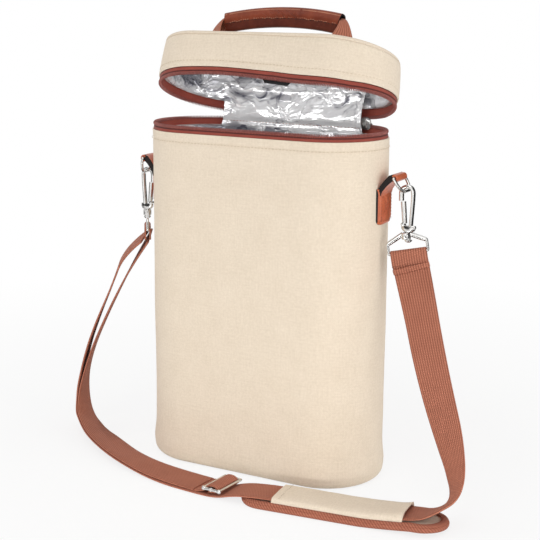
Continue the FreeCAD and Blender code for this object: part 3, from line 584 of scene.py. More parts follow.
def band_section(width: float, thick: float, columns: int = 10) -> np.ndarray:
    """Give the section of flat webbing with soft edges.

    Args:
        width: The full width.
        thick: The full thickness.
        columns: Points along each face.

    Returns:
        Points (across, up), going once round.
    """
    half, rise = width / 2, thick / 2
    across = np.linspace(-half + rise * 0.8, half - rise * 0.8, columns)
    top = [(a, rise) for a in across]
    low = [(a, -rise) for a in across[::-1]]
    right = [(half - 0.1 * thick, rise * 0.65), (half, 0), (half - 0.1 * thick, -rise * 0.65)]
    left = [(-half + 0.1 * thick, -rise * 0.65), (-half, 0), (-half + 0.1 * thick, rise * 0.65)]
    return np.array(top + right + low + left)


def smooth_line(points: Sequence[Point], resolution: int = 12, closed: bool = False) -> np.ndarray:
    """Read the points of a NURBS spline.

    Args:
        points: The spline's control points.
        resolution: Points read per control point.
        closed: True for a ring.

    Returns:
        Points on the spline, in the control points' unit.
    """
    curve = bpy.data.curves.new("line", "CURVE")
    curve.dimensions = "3D"
    spline = curve.splines.new("NURBS")
    spline.points.add(len(points) - 1)
    for knot, point in zip(spline.points, points):
        knot.co = (*point, 1)
    spline.order_u = 3
    spline.use_endpoint_u = not closed
    spline.use_cyclic_u = closed
    spline.resolution_u = resolution
    holder = bpy.data.objects.new("line", curve)
    mesh = bpy.data.meshes.new_from_object(holder)
    line = np.array([vertex.co[:] for vertex in mesh.vertices])
    bpy.data.objects.remove(holder)
    bpy.data.curves.remove(curve)
    bpy.data.meshes.remove(mesh)
    return line


class Draft:
    """Collects the surface of one piece in millimetres and makes its object."""

    def __init__(self, name: str, *finishes: Material) -> None:
        """Start an empty piece.

        Args:
            name: The piece's name.
            finishes: Its finishes, in the order of their numbers.
        """
        self.name = name
        self.finishes = finishes
        self.points: list[np.ndarray] = []
        self.faces: list[tuple[int, ...]] = []
        self.flat: list[list[tuple[float, float]]] = []
        self.marks: list[int] = []
        self.count = 0

    def skin(self, rows: np.ndarray, around: bool = False, along: bool = False,
             capped: Optional[int] = None) -> "Draft":
        """Add a grid of faces with a UV map in metres.

        Args:
            rows: Points by row and column.
            around: True where the last column joins the first.
            along: True where the last row joins the first.
            capped: The finish of the closed ends, or None for open ends.

        Returns:
            This draft.
        """
        count_rows, count_columns = rows.shape[:2]
        middle = rows[count_rows // 2]
        across = np.linalg.norm(np.diff(np.vstack([middle, middle[:1]]), axis=0), axis=1)
        across = np.concatenate([[0], np.cumsum(across)])
        steps = np.linalg.norm(np.diff(np.concatenate([rows, rows[:1]]), axis=0), axis=2).mean(axis=1)
        ahead = np.concatenate([[0], np.cumsum(steps)])
        start = self.count
        self.points.append(rows.reshape(-1, 3))
        self.count += count_rows * count_columns
        for row in range(count_rows if along else count_rows - 1):
            for column in range(count_columns if around else count_columns - 1):
                next_row, next_column = (row + 1) % count_rows, (column + 1) % count_columns
                self.faces.append((start + row * count_columns + column,
                                   start + row * count_columns + next_column,
                                   start + next_row * count_columns + next_column,
                                   start + next_row * count_columns + column))
                self.flat.append([(across[column], ahead[row]), (across[column + 1], ahead[row]),
                                  (across[column + 1], ahead[row + 1]), (across[column], ahead[row + 1])])
                self.marks.append(0)
        if capped is not None:
            for row in (0, count_rows - 1):
                self.face([start + row * count_columns + column for column in range(count_columns)], capped)
        return self

    def tube(self, line: np.ndarray, side: Sequence[float], sections: np.ndarray) -> "Draft":
        """Add a bar of sections along a line, with both ends closed.

        Args:
            line: Centre points in millimetres.
            side: The direction of a section's first coordinate.
            sections: Section points (across, up), one set or one set per point.

        Returns:
            This draft.
        """
        return self.skin(ribbed(line, side, sections), around=True, capped=0)

    def band(self, columns: Sequence[int], width: int, finish: int = 1) -> "Draft":
        """Give columns of the one skin made so far another finish.

        Args:
            columns: The columns of faces.
            width: Faces in a row.
            finish: The finish they take.

        Returns:
            This draft.
        """
        for number in range(len(self.marks)):
            if number % width in columns:
                self.marks[number] = finish
        return self

    def face(self, corners: Sequence[int], finish: int = 0) -> None:
        """Add one face, mapped on its own plane.

        Args:
            corners: The numbers of its points.
            finish: The number of its finish.
        """
        spots = np.concatenate(self.points)[list(corners)]
        spots = spots - spots.mean(axis=0)
        axes = np.linalg.svd(spots, full_matrices=False)[2]
        self.faces.append(tuple(corners))
        self.flat.append([(float(spot @ axes[0]), float(spot @ axes[1])) for spot in spots])
        self.marks.append(finish)

    def build(self, place: Optional[Matrix] = None, crease: float = 40) -> Piece:
        """Make the object.

        Args:
            place: Moves the points, in millimetres.
            crease: Edges sharper than this, in degrees, stay sharp.

        Returns:
            The linked object, at the origin.
        """
        points = np.concatenate(self.points)
        if place is not None:
            matrix = np.array(place)
            points = points @ matrix[:3, :3].T + matrix[:3, 3]
        mesh = bpy.data.meshes.new(self.name)
        mesh.from_pydata((points * MM).tolist(), [], self.faces)
        layer = mesh.uv_layers.new(name="lengths")
        corner = 0
        for spots in self.flat:
            for spot in spots:
                layer.data[corner].uv = (spot[0] * MM, spot[1] * MM)
                corner += 1
        for finish in self.finishes:
            mesh.materials.append(finish)
        mesh.polygons.foreach_set("material_index", self.marks)
        work = bmesh.new()
        work.from_mesh(mesh)
        bmesh.ops.remove_doubles(work, verts=work.verts, dist=2e-6)
        bmesh.ops.dissolve_degenerate(work, dist=1e-7, edges=work.edges)
        bmesh.ops.recalc_face_normals(work, faces=work.faces)
        work.to_mesh(mesh)
        work.free()
        mesh.polygons.foreach_set("use_smooth", [True] * len(mesh.polygons))
        mesh.set_sharp_from_angle(angle=math.radians(crease))
        piece = bpy.data.objects.new(self.name, mesh)
        bpy.context.scene.collection.objects.link(piece)
        return piece


class PathRepeat:
    """Geometry Nodes that set small rounded forms along paths, such as stitches and zip teeth."""

    def __init__(self) -> None:
        """Build the node tree with its named inputs."""
        self.tree = bpy.data.node_groups.new("path_repeat", "GeometryNodeTree")
        face = self.tree.interface
        face.new_socket("Geometry", in_out="INPUT", socket_type="NodeSocketGeometry")
        for label in ("Pitch", "Length", "Width", "Height"):
            face.new_socket(label, in_out="INPUT", socket_type="NodeSocketFloat")
        face.new_socket("Finish", in_out="INPUT", socket_type="NodeSocketMaterial")
        face.new_socket("Geometry", in_out="OUTPUT", socket_type="NodeSocketGeometry")
        nodes, links = self.tree.nodes, self.tree.links
        entry, leave = nodes.new("NodeGroupInput"), nodes.new("NodeGroupOutput")
        curve, even = nodes.new("GeometryNodeMeshToCurve"), nodes.new("GeometryNodeResampleCurve")
        even.mode = "LENGTH"
        form = nodes.new("GeometryNodeMeshUVSphere")
        form.inputs["Segments"].default_value = 8
        form.inputs["Rings"].default_value = 5
        form.inputs["Radius"].default_value = 0.5
        size, spread = nodes.new("ShaderNodeCombineXYZ"), nodes.new("GeometryNodeInstanceOnPoints")
        ahead, out = nodes.new("GeometryNodeInputTangent"), nodes.new("GeometryNodeInputNamedAttribute")
        out.data_type = "FLOAT_VECTOR"
        out.inputs["Name"].default_value = "outward"
        aim = nodes.new("FunctionNodeAxesToRotation")
        aim.primary_axis, aim.secondary_axis = "X", "Z"
        real, paint = nodes.new("GeometryNodeRealizeInstances"), nodes.new("GeometryNodeSetMaterial")
        for start, end in (
                (entry.outputs["Geometry"], curve.inputs[0]), (curve.outputs[0], even.inputs["Curve"]),
                (entry.outputs["Pitch"], even.inputs["Length"]), (even.outputs[0], spread.inputs["Points"]),
                (form.outputs["Mesh"], spread.inputs["Instance"]), (entry.outputs["Length"], size.inputs[0]),
                (entry.outputs["Width"], size.inputs[1]), (entry.outputs["Height"], size.inputs[2]),
                (size.outputs[0], spread.inputs["Scale"]), (ahead.outputs[0], aim.inputs[0]),
                (out.outputs["Attribute"], aim.inputs[1]), (aim.outputs[0], spread.inputs["Rotation"]),
                (spread.outputs[0], real.inputs[0]), (real.outputs[0], paint.inputs["Geometry"]),
                (entry.outputs["Finish"], paint.inputs["Material"]), (paint.outputs[0], leave.inputs[0])):
            links.new(start, end)

    def lay(self, name: str, lines: Sequence[Line], finish_used: Material, pitch: float,
            size: Point) -> Piece:
        """Set the forms along lines and make them one plain mesh.

        Args:
            name: The piece's name.
            lines: Pairs of points and outward directions, in millimetres.
            finish_used: The forms' finish.
            pitch: The spacing in millimetres.
            size: Length along the line, width across it and height out of the surface.

        Returns:
            The linked object.
        """
        points = np.concatenate([line for line, _ in lines]) * MM
        outward = np.concatenate([np.broadcast_to(out, line.shape) for line, out in lines])
        edges: list[tuple[int, int]] = []
        start = 0
        for line, _ in lines:
            edges += [(start + number, start + number + 1) for number in range(len(line) - 1)]
            start += len(line)
        mesh = bpy.data.meshes.new(name)
        mesh.from_pydata(points.tolist(), edges, [])
        mesh.attributes.new("outward", "FLOAT_VECTOR", "POINT").data.foreach_set("vector", outward.ravel())
        piece = bpy.data.objects.new(name, mesh)
        bpy.context.scene.collection.objects.link(piece)
        repeat = piece.modifiers.new("repeat", "NODES")
        repeat.node_group = self.tree
        values = {"Pitch": pitch * MM, "Length": size[0] * MM, "Width": size[1] * MM, "Height": size[2] * MM,
                  "Finish": finish_used}
        for socket in self.tree.interface.items_tree:
            if socket.in_out == "INPUT" and socket.name in values:
                repeat[socket.identifier] = values[socket.name]
        ready = piece.evaluated_get(bpy.context.evaluated_depsgraph_get())
        plain = bpy.data.meshes.new_from_object(ready)
        piece.modifiers.remove(repeat)
        piece.data = plain
        bpy.data.meshes.remove(mesh)
        if not plain.materials:
            plain.materials.append(finish_used)
        plain.polygons.foreach_set("use_smooth", [True] * len(plain.polygons))
        return piece


@dataclass(frozen=True)
class ClothPress:
    """Swells a closed, pinned mesh with Blender's cloth pressure."""

    pressure: float = 4.0
    frames: int = 20
    cap: float = 3.0
    stiff: float = 15.0

    def swell(self, piece: Piece, held: Sequence[int]) -> None:
        """Run the cloth and keep its shape in the mesh.

        Args:
            piece: A mesh object at the origin.
            held: Numbers of the points that stay.
        """
        scene = bpy.context.scene
        group = piece.vertex_groups.new(name="held")
        group.add(list(held), 1.0, "REPLACE")
        cloth = piece.modifiers.new("press", "CLOTH")
        rules = cloth.settings
        rules.quality = 6
        rules.mass = 0.2
        rules.tension_stiffness = rules.compression_stiffness = self.stiff
        rules.shear_stiffness = self.stiff / 2
        rules.bending_stiffness = 0.5
        rules.use_pressure = True
        rules.uniform_pressure_force = self.pressure
        rules.vertex_group_mass = "held"
        rules.effector_weights.gravity = 0
        cloth.point_cache.frame_start, cloth.point_cache.frame_end = 1, self.frames
        for number in range(1, self.frames + 1):
            scene.frame_set(number)
        ready = piece.evaluated_get(bpy.context.evaluated_depsgraph_get())
        swollen = np.array([vertex.co[:] for vertex in ready.data.vertices])
        piece.modifiers.remove(cloth)
        piece.vertex_groups.remove(group)
        start = np.array([vertex.co[:] for vertex in piece.data.vertices])
        moved = swollen - start
        length = np.linalg.norm(moved, axis=1, keepdims=True)
        moved *= np.minimum(1, self.cap * MM / np.maximum(length, 1e-9))
        piece.data.vertices.foreach_set("co", (start + moved).ravel())
        piece.data.update()
        scene.frame_set(1)


@dataclass(frozen=True)
class Track:
    """The racetrack outline of the bag, seen from above."""

    width: float = 210.0
    depth: float = 95.0

    @property
    def radius(self) -> float:
        """Radius of the round ends."""
        return self.depth / 2

    @property
    def half_run(self) -> float:
        """Half of a straight side."""
        return (self.width - self.depth) / 2

    @property
    def length(self) -> float:
        """Length once round."""
        return 4 * self.half_run + TURN * self.radius

    def spots(self, runs: np.ndarray, inset: np.ndarray | float) -> tuple[np.ndarray, np.ndarray]:
        """Find points on the outline, from the middle of the back over the right end.

        Args:
            runs: Distances along the outer outline.
            inset: Distances inside it, one or one per run.

        Returns:
            Points and outward directions (x, y).
        """
        reach = self.radius - inset
        side, arc = self.half_run, math.pi * self.radius
        angle = np.clip((runs - side) / self.radius, 0, math.pi)
        angle = angle + np.clip((runs - 3 * side - arc) / self.radius, 0, math.pi)
        hub = np.clip(runs, 0, side) - np.clip(runs - side - arc, 0, 2 * side)
        hub = hub + np.clip(runs - 3 * side - 2 * arc, 0, side)
        out = np.stack([np.sin(angle), np.cos(angle)], axis=-1)
        return np.stack([hub + reach * out[..., 0], reach * out[..., 1]], axis=-1), out

    def runs(self, step: float) -> np.ndarray:
        """Divide the whole outline evenly, alike on all four quarters."""
        count = 4 * round(self.length / 4 / step)
        return (np.arange(count) + 0.5) * self.length / count

    def sweep(self, profile: np.ndarray, runs: np.ndarray,
              swell: Optional[Callable[[float, float, float], float]] = None,
              middle_y: float = 0.0) -> np.ndarray:
        """Carry a profile round the outline.

        Args:
            profile: Rows of inset, height and optionally the share of the swelling.
            runs: Distances along the outline.
            swell: Gives the way outward for run, height and share.
            middle_y: The outline's middle.

        Returns:
            Points by profile row and run.
        """
        rows = np.zeros((len(profile), len(runs), 3))
        for number, entry in enumerate(profile):
            inset = np.full(len(runs), float(entry[0]))
            if swell is not None and len(entry) > 2 and entry[2]:
                inset -= np.array([swell(run, entry[1], entry[2]) for run in runs])
            spots, _ = self.spots(runs, inset)
            rows[number, :, :2] = spots
            rows[number, :, 1] += middle_y
            rows[number, :, 2] = entry[1]
        return rows

    def line(self, runs: np.ndarray, inset: float, height: float,
             middle_y: float = 0.0) -> Line:
        """Give a level line round the outline with its outward directions.

        Args:
            runs: Distances along the outline.
            inset: How far inside it.
            height: The line's height.
            middle_y: The outline's middle.

        Returns:
            Points and directions.
        """
        spots, out = self.spots(runs, inset)
        flat = np.zeros((len(runs), 1))
        return np.hstack([spots + [0, middle_y], flat + height]), np.hstack([out, flat])

    def cup_area(self, wall: float) -> float:
        """Give the flat area of a lining inside this outline.

        Args:
            wall: The height of its wall.

        Returns:
            The area in square metres.
        """
        lost, turned, rounded_share = 40, 12, 0.93
        floor = (self.depth - turned) * (self.width - turned) * rounded_share
        return ((self.length - lost) * wall + floor) * MM * MM


class Side(Enum):
    """One end of the bag."""

    RIGHT = 1
    LEFT = -1

    @property
    def label(self) -> str:
        """Name used in the pieces."""
        return self.name.lower()


def placed(lines: Sequence[Line], place: Matrix) -> list[Line]:
    """Move lines and their outward directions.

    Args:
        lines: Pairs of points and directions.
        place: The move, in millimetres.

    Returns:
        The moved pairs.
    """
    matrix = np.array(place)
    spin = matrix[:3, :3].T
    return [(line @ spin + matrix[:3, 3], np.broadcast_to(out, line.shape) @ spin) for line, out in lines]


def wrinkle(first: float, second: float, seed: float, sizes: Sequence[tuple[float, float]]) -> float:
    """Give the height of a creased sheet.

    Args:
        first: A length along the sheet.
        second: A length up the sheet.
        seed: Picks another sheet.
        sizes: Pairs of crease spacing and height.

    Returns:
        The height, sharp along its creases.
    """
    total = 0.0
    for size, rise in sizes:
        total += rise * (1 - 2.2 * abs(noise.noise(Vector((first / size, second / size, seed)))))
    return total


def attach(piece: Piece, body: str, slot: str, *nodes: str) -> None:
    """Set a piece on a body and hide the nodes it stands for.

    Args:
        piece: The piece.
        body: The body it rides on.
        slot: Not used.
        nodes: The CAD nodes it replaces.
    """
    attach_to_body(piece, body)
    finish(piece, slot, *nodes)


def finish(piece: Piece, slot: str, *nodes: str) -> None:
    """Hide the CAD nodes a piece stands for, and log its face count.

    Args:
        piece: The piece.
        slot: Not used.
        nodes: The CAD nodes it replaces.
    """
    if nodes:
        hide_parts(*nodes)
    LOG.info("%s: %d faces", piece.name, len(piece.data.polygons))


def dress(mesh: bpy.types.Mesh, finish_used: Material) -> None:
    """Give a mesh one finish."""
    mesh.materials.clear()
    mesh.materials.append(finish_used)


def refined(node: str, name: str, finish_used: Material, bevel: float = 0.3) -> Piece:
    """Copy a hard CAD node, clean its faces and round its edges.

    Args:
        node: The CAD node.
        name: The new piece's name.
        finish_used: Its finish.
        bevel: The edge rounding in millimetres.

    Returns:
        The linked object.
    """
    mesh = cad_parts[node].data.copy()
    mesh.name = name
    dress(mesh, finish_used)
    work = bmesh.new()
    work.from_mesh(mesh)
    bmesh.ops.remove_doubles(work, verts=work.verts, dist=1e-6)
    bmesh.ops.dissolve_limit(work, angle_limit=math.radians(1), verts=work.verts, edges=work.edges)
    sharp = [edge for edge in work.edges
             if len(edge.link_faces) == 2 and edge.calc_face_angle(0) > math.radians(40)]
    bmesh.ops.bevel(work, geom=sharp, offset=bevel * MM, segments=2, affect="EDGES", profile=0.6,
                    clamp_overlap=True)
    bmesh.ops.recalc_face_normals(work, faces=work.faces)
    for face in work.faces:
        face.material_index = 0
        face.smooth = True
    work.to_mesh(mesh)
    work.free()
    mesh.set_sharp_from_angle(angle=math.radians(35))
    piece = bpy.data.objects.new(name, mesh)
    bpy.context.scene.collection.objects.link(piece)
    return piece


@dataclass
class Studio:
    """Camera, floor and light."""

    spot: Point = (0.5002, -0.9113, 0.4001)
    turn: Point = (77.42, 0.0, 28.63)
    lens: float = 83.71
    roll: float = 0.35
    sky: float = 0.63
    target: Point = (0.0, 0.0, 0.17)
    floor_half: float = 80.0
    lamps: tuple[tuple[Point, float, float], ...] = (
        ((-1.4, -0.9, 0.5), 1.2, 4.6), ((1.6, -0.3, 0.2), 1.0, 11.4), ((0.35, -1.6, 0.15), 1.0, 2.3),
        ((0.15, -0.9, 1.5), 0.9, 4.5))
    fills: tuple[tuple[str, Point, Point, tuple[float, float], float], ...] = (
        ("opening_fill", (0.0, -0.028, 0.316), (0.0, 0.044, 0.308), (0.16, 0.010), 0.034),
        ("foot_fill", (0.13, -0.38, 0.014), (0.03, 0.0, 0.03), (0.45, 0.02), 0.25))
    flags: tuple[tuple[Point, Point, Point], ...] = (
        ((-0.67, -1.23, 0.79), (0.48, -0.26, 0), (0, 0, 0.52)),
        ((0.35, 0.55, 0.45), (-0.32, 0.20, 0), (0, 0, 0.5)),
        ((-0.62, -0.28, 0.45), (0.06, -0.14, 0), (0, 0, 0.5)),
        ((0.65, 0.14, 0.35), (-0.10, 0.46, 0), (0, 0, 0.48)),
        ((0.29, -0.03, 0.008), (0.18, 0, 0), (0, 0.35, 0)),
        ((-0.32, 0.10, 0.008), (0.19, 0, 0), (0, 0.20, 0)),
        ((0.22, -0.40, 0.056), (0.13, 0.03, 0), (0, 0, 0.056)))

    def camera(self) -> None:
        """Set the camera at the photograph's viewing angle."""
        data = bpy.data.cameras.new("camera")
        data.sensor_width = 36
        data.lens = self.lens
        data.clip_start = 0.05
        holder = bpy.data.objects.new("camera", data)
        holder.location = self.spot
        facing = Euler([math.radians(angle) for angle in self.turn]).to_matrix()
        holder.rotation_euler = (facing @ Matrix.Rotation(math.radians(self.roll), 3, "Z")).to_euler()
        bpy.context.scene.collection.objects.link(holder)
        bpy.context.scene.camera = holder

    def flat_panel(self, name: str, middle: Vector, along: Vector, rise: Vector,
                   finish_used: Material) -> Piece:
        """Make a flat panel of the set.

        Args:
            name: Its name.
            middle: Its middle.
            along: From the middle to one side.
            rise: From the middle to the top.
            finish_used: Its finish.

        Returns:
            The linked panel.
        """
        mesh = bpy.data.meshes.new(name)
        mesh.from_pydata([middle - along - rise, middle + along - rise, middle + along + rise,
                          middle - along + rise], [], [(0, 1, 2, 3)])
        mesh.materials.append(finish_used)
        panel = bpy.data.objects.new(name, mesh)
        bpy.context.scene.collection.objects.link(panel)
        return panel

    def floor(self) -> None:
        """Lay a pale floor that keeps the object's soft shadow and fades to white."""
        tree = FinishTree("pale_floor")
        place = tree.object_place()
        speck = tree.speckle(place, 3, 2)
        tree.put(Base_Color=tree.mixed(speck, (0.93, 0.93, 0.93), (0.95, 0.95, 0.95)), Roughness=0.9)
        away = tree.node("ShaderNodeVectorMath", {"operation": "LENGTH"}, {0: place}, "Value")
        glow = tree.nodes.new("ShaderNodeEmission")
        path = tree.node("ShaderNodeLightPath", output="Is Camera Ray")
        seen = path.joined("MAXIMUM", path.output("Is Glossy Ray")).joined(
            "MAXIMUM", path.output("Is Transmission Ray"))
        blend = tree.nodes.new("ShaderNodeMixShader")
        tree.links.new((seen * (0.80 + away.ramp(0.22, 0.75) * 0.20)).socket, blend.inputs[0])
        tree.links.new(tree.shader.outputs[0], blend.inputs[1])
        tree.links.new(glow.outputs[0], blend.inputs[2])
        tree.links.new(blend.outputs[0], tree.surface.inputs[0])
        half = self.floor_half
        self.flat_panel("floor", Vector((0, 0, 0)), Vector((half, 0, 0)), Vector((0, half, 0)),
                                 tree.material)

    def dark_panels(self) -> None:
        """Stand dark panels where only polished surfaces mirror them."""
        tree = FinishTree("dark_panel")
        fleck = tree.speckle(tree.object_place(), 9, 2)
        tree.put(Base_Color=tree.mixed(fleck, (0.010, 0.010, 0.011), (0.02, 0.02, 0.02)), Roughness=0.9)
        for number, ways in enumerate(self.flags):
            panel = self.flat_panel(f"dark_panel_{number}", *(Vector(way) for way in ways), tree.material)
            panel.visible_camera = panel.visible_diffuse = panel.visible_shadow = False
            panel.visible_transmission = False

    def lamp(self, name: str, spot: Point, target: Point, size: tuple[float, float],
             power: float) -> Piece:
        """Hang an area light.

        Args:
            name: Its name.
            spot: Its place.
            target: The point that it faces.
            size: Its width and height.
            power: Its power in watts.

        Returns:
            The linked light.
        """
        data = bpy.data.lights.new(name, "AREA")
        data.shape, data.energy = "RECTANGLE", power
        data.size, data.size_y = size
        holder = bpy.data.objects.new(name, data)
        holder.location = spot
        holder.rotation_euler = (Vector(target) - Vector(spot)).to_track_quat("-Z", "Y").to_euler()
        bpy.context.scene.collection.objects.link(holder)
        return holder

    def light(self) -> None:
        """Light the object softly from a white surround, panels and two small fills."""
        scene = bpy.context.scene
        scene.view_settings.view_transform = "Standard"
        world = bpy.data.worlds.new("surround")
        world.use_nodes = True
        scene.world = world
        nodes, links = world.node_tree.nodes, world.node_tree.links
        path, level = nodes.new("ShaderNodeLightPath"), nodes.new("ShaderNodeMapRange")
        seen = path.outputs["Is Camera Ray"]
        for ray in ("Is Glossy Ray", "Is Transmission Ray"):
            either = nodes.new("ShaderNodeMath")
            either.operation = "MAXIMUM"
            links.new(seen, either.inputs[0])
            links.new(path.outputs[ray], either.inputs[1])
            seen = either.outputs[0]
        links.new(seen, level.inputs["Value"])
        level.inputs["To Min"].default_value = self.sky
        glow = nodes["Background"]
        glow.inputs["Color"].default_value = (1, 1, 1, 1)
        links.new(level.outputs[0], glow.inputs["Strength"])
        for number, (spot, size, power) in enumerate(self.lamps):
            self.lamp(f"panel_{number}", spot, self.target, (size, size), power)
        for name, spot, target, size, power in self.fills:
            self.lamp(name, spot, target, size, power).visible_camera = False


@dataclass
class ShoulderStrap:
    """The shoulder strap: one long layer and the layer that comes back to the adjuster."""

    finishes: Palette
    width: float = 29.0
    thick: float = 1.6
    main_length: float = 0.796
    return_length: float = 0.382
    route: tuple[tuple[Point, Point], ...] = (
        ((-0.12324, -0.00119, 0.18593), (0.57, -0.82, 0)), ((-0.1445, -0.004, 0.170), (0.55, -0.835, 0)),
        ((-0.156, -0.006, 0.140), (0.51, -0.86, 0)), ((-0.174, -0.006, 0.104), (0.46, -0.885, 0)),
        ((-0.1885, -0.005, 0.070), (0.45, -0.89, 0)), ((-0.194, -0.007, 0.040), (0.26, -0.70, -0.11)),
        ((-0.1865, -0.0155, 0.016), (0.40, -1.15, 0.13)), ((-0.166, -0.029, 0.0066), (0.20, -1.12, 0.37)),
        ((-0.136, -0.049, 0.0052), (-0.60, -0.89, 0.23)), ((-0.0985, -0.0695, 0.0034), (-0.33, -0.98, 0.18)),
        ((-0.052, -0.0825, 0.0009), (-0.15, -0.98, 0)), ((-0.010, -0.087, 0.0009), (-0.06, -1, 0)),
        ((0.009, -0.0878, 0.0012), (0, -1, 0)), ((0.026, -0.0882, 0.0067), (0.05, -1, 0)),
        ((0.042, -0.0864, 0.0080), (0.10, -1, 0)), ((0.060, -0.083, 0.0079), (0.10, -1, 0)),
        ((0.112, -0.0775, 0.0078), (0.10, -1, 0)), ((0.170, -0.0713, 0.0094), (0.10, -1, 0)),
        ((0.184, -0.0674, 0.0128), (0.18, -0.94, 0.20)), ((0.1948, -0.062, 0.021), (0.38, -0.84, 0.34)),
        ((0.1968, -0.058, 0.040), (0.74, -0.66, 0.10)), ((0.1873, -0.051, 0.066), (0.92, -0.39, 0.05)),
        ((0.1722, -0.040, 0.096), (0.965, -0.26, 0.03)), ((0.158, -0.028, 0.127), (0.985, -0.15, 0.03)),
        ((0.1440, -0.014, 0.160), (0.99, -0.10, 0.05)), ((0.1284, 0.0024, 0.1905), (0.935, 0.303, 0.18)))
    back_route: tuple[tuple[Point, Point], ...] = (
        ((-0.11978, 0.00119, 0.18593), (0.57, -0.82, 0)), ((-0.133, 0.0005, 0.167), (0.51, -0.86, 0)),
        ((-0.149, -0.001, 0.140), (0.46, -0.89, 0)), ((-0.168, -0.003, 0.104), (0.45, -0.89, 0)),
        ((-0.184, -0.0042, 0.070), (0.45, -0.89, 0)), ((-0.1920, -0.0062, 0.0400), (0.26, -0.70, -0.11)),
        ((-0.1847, -0.0148, 0.0170), (0.40, -1.15, 0.13)), ((-0.1651, -0.0282, 0.0085), (0.20, -1.12, 0.37)),
        ((-0.1357, -0.0487, 0.0074), (-0.60, -0.89, 0.23)),
        ((-0.0984, -0.0691, 0.0056), (-0.33, -0.98, 0.18)),
        ((-0.052, -0.0825, 0.00305), (-0.15, -0.98, 0)), ((-0.01175, -0.08568, 0.00285), (-0.06, -1, 0)))

    def layer(self, name: str, route: Sequence[tuple[Point, Point]]) -> tuple[Piece, np.ndarray]:
        """Run webbing along a route's spline.

        Args:
            name: The piece's name.
            route: Points and width directions, in metres.

        Returns:
            The piece and its centre line in metres.
        """
        line = smooth_line([point for point, _ in route])
        side = smooth_line([way for _, way in route])
        draft = Draft(name, self.finishes.webbing)
        draft.tube(line / MM, side, band_section(self.width, self.thick))
        return draft.build(), line

    def build(self) -> None:
        main, line = self.layer("strap_main_webbing", self.route)
        attach(main, "bag", "webbing", "shoulder_strap")
        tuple(self.route[0][0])
        self.width * MM
        back, line = self.layer("strap_return_webbing", self.back_route)
        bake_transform(back)
        finish(back, "webbing", "strap_return")
        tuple(self.back_route[0][0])
        self.width * MM


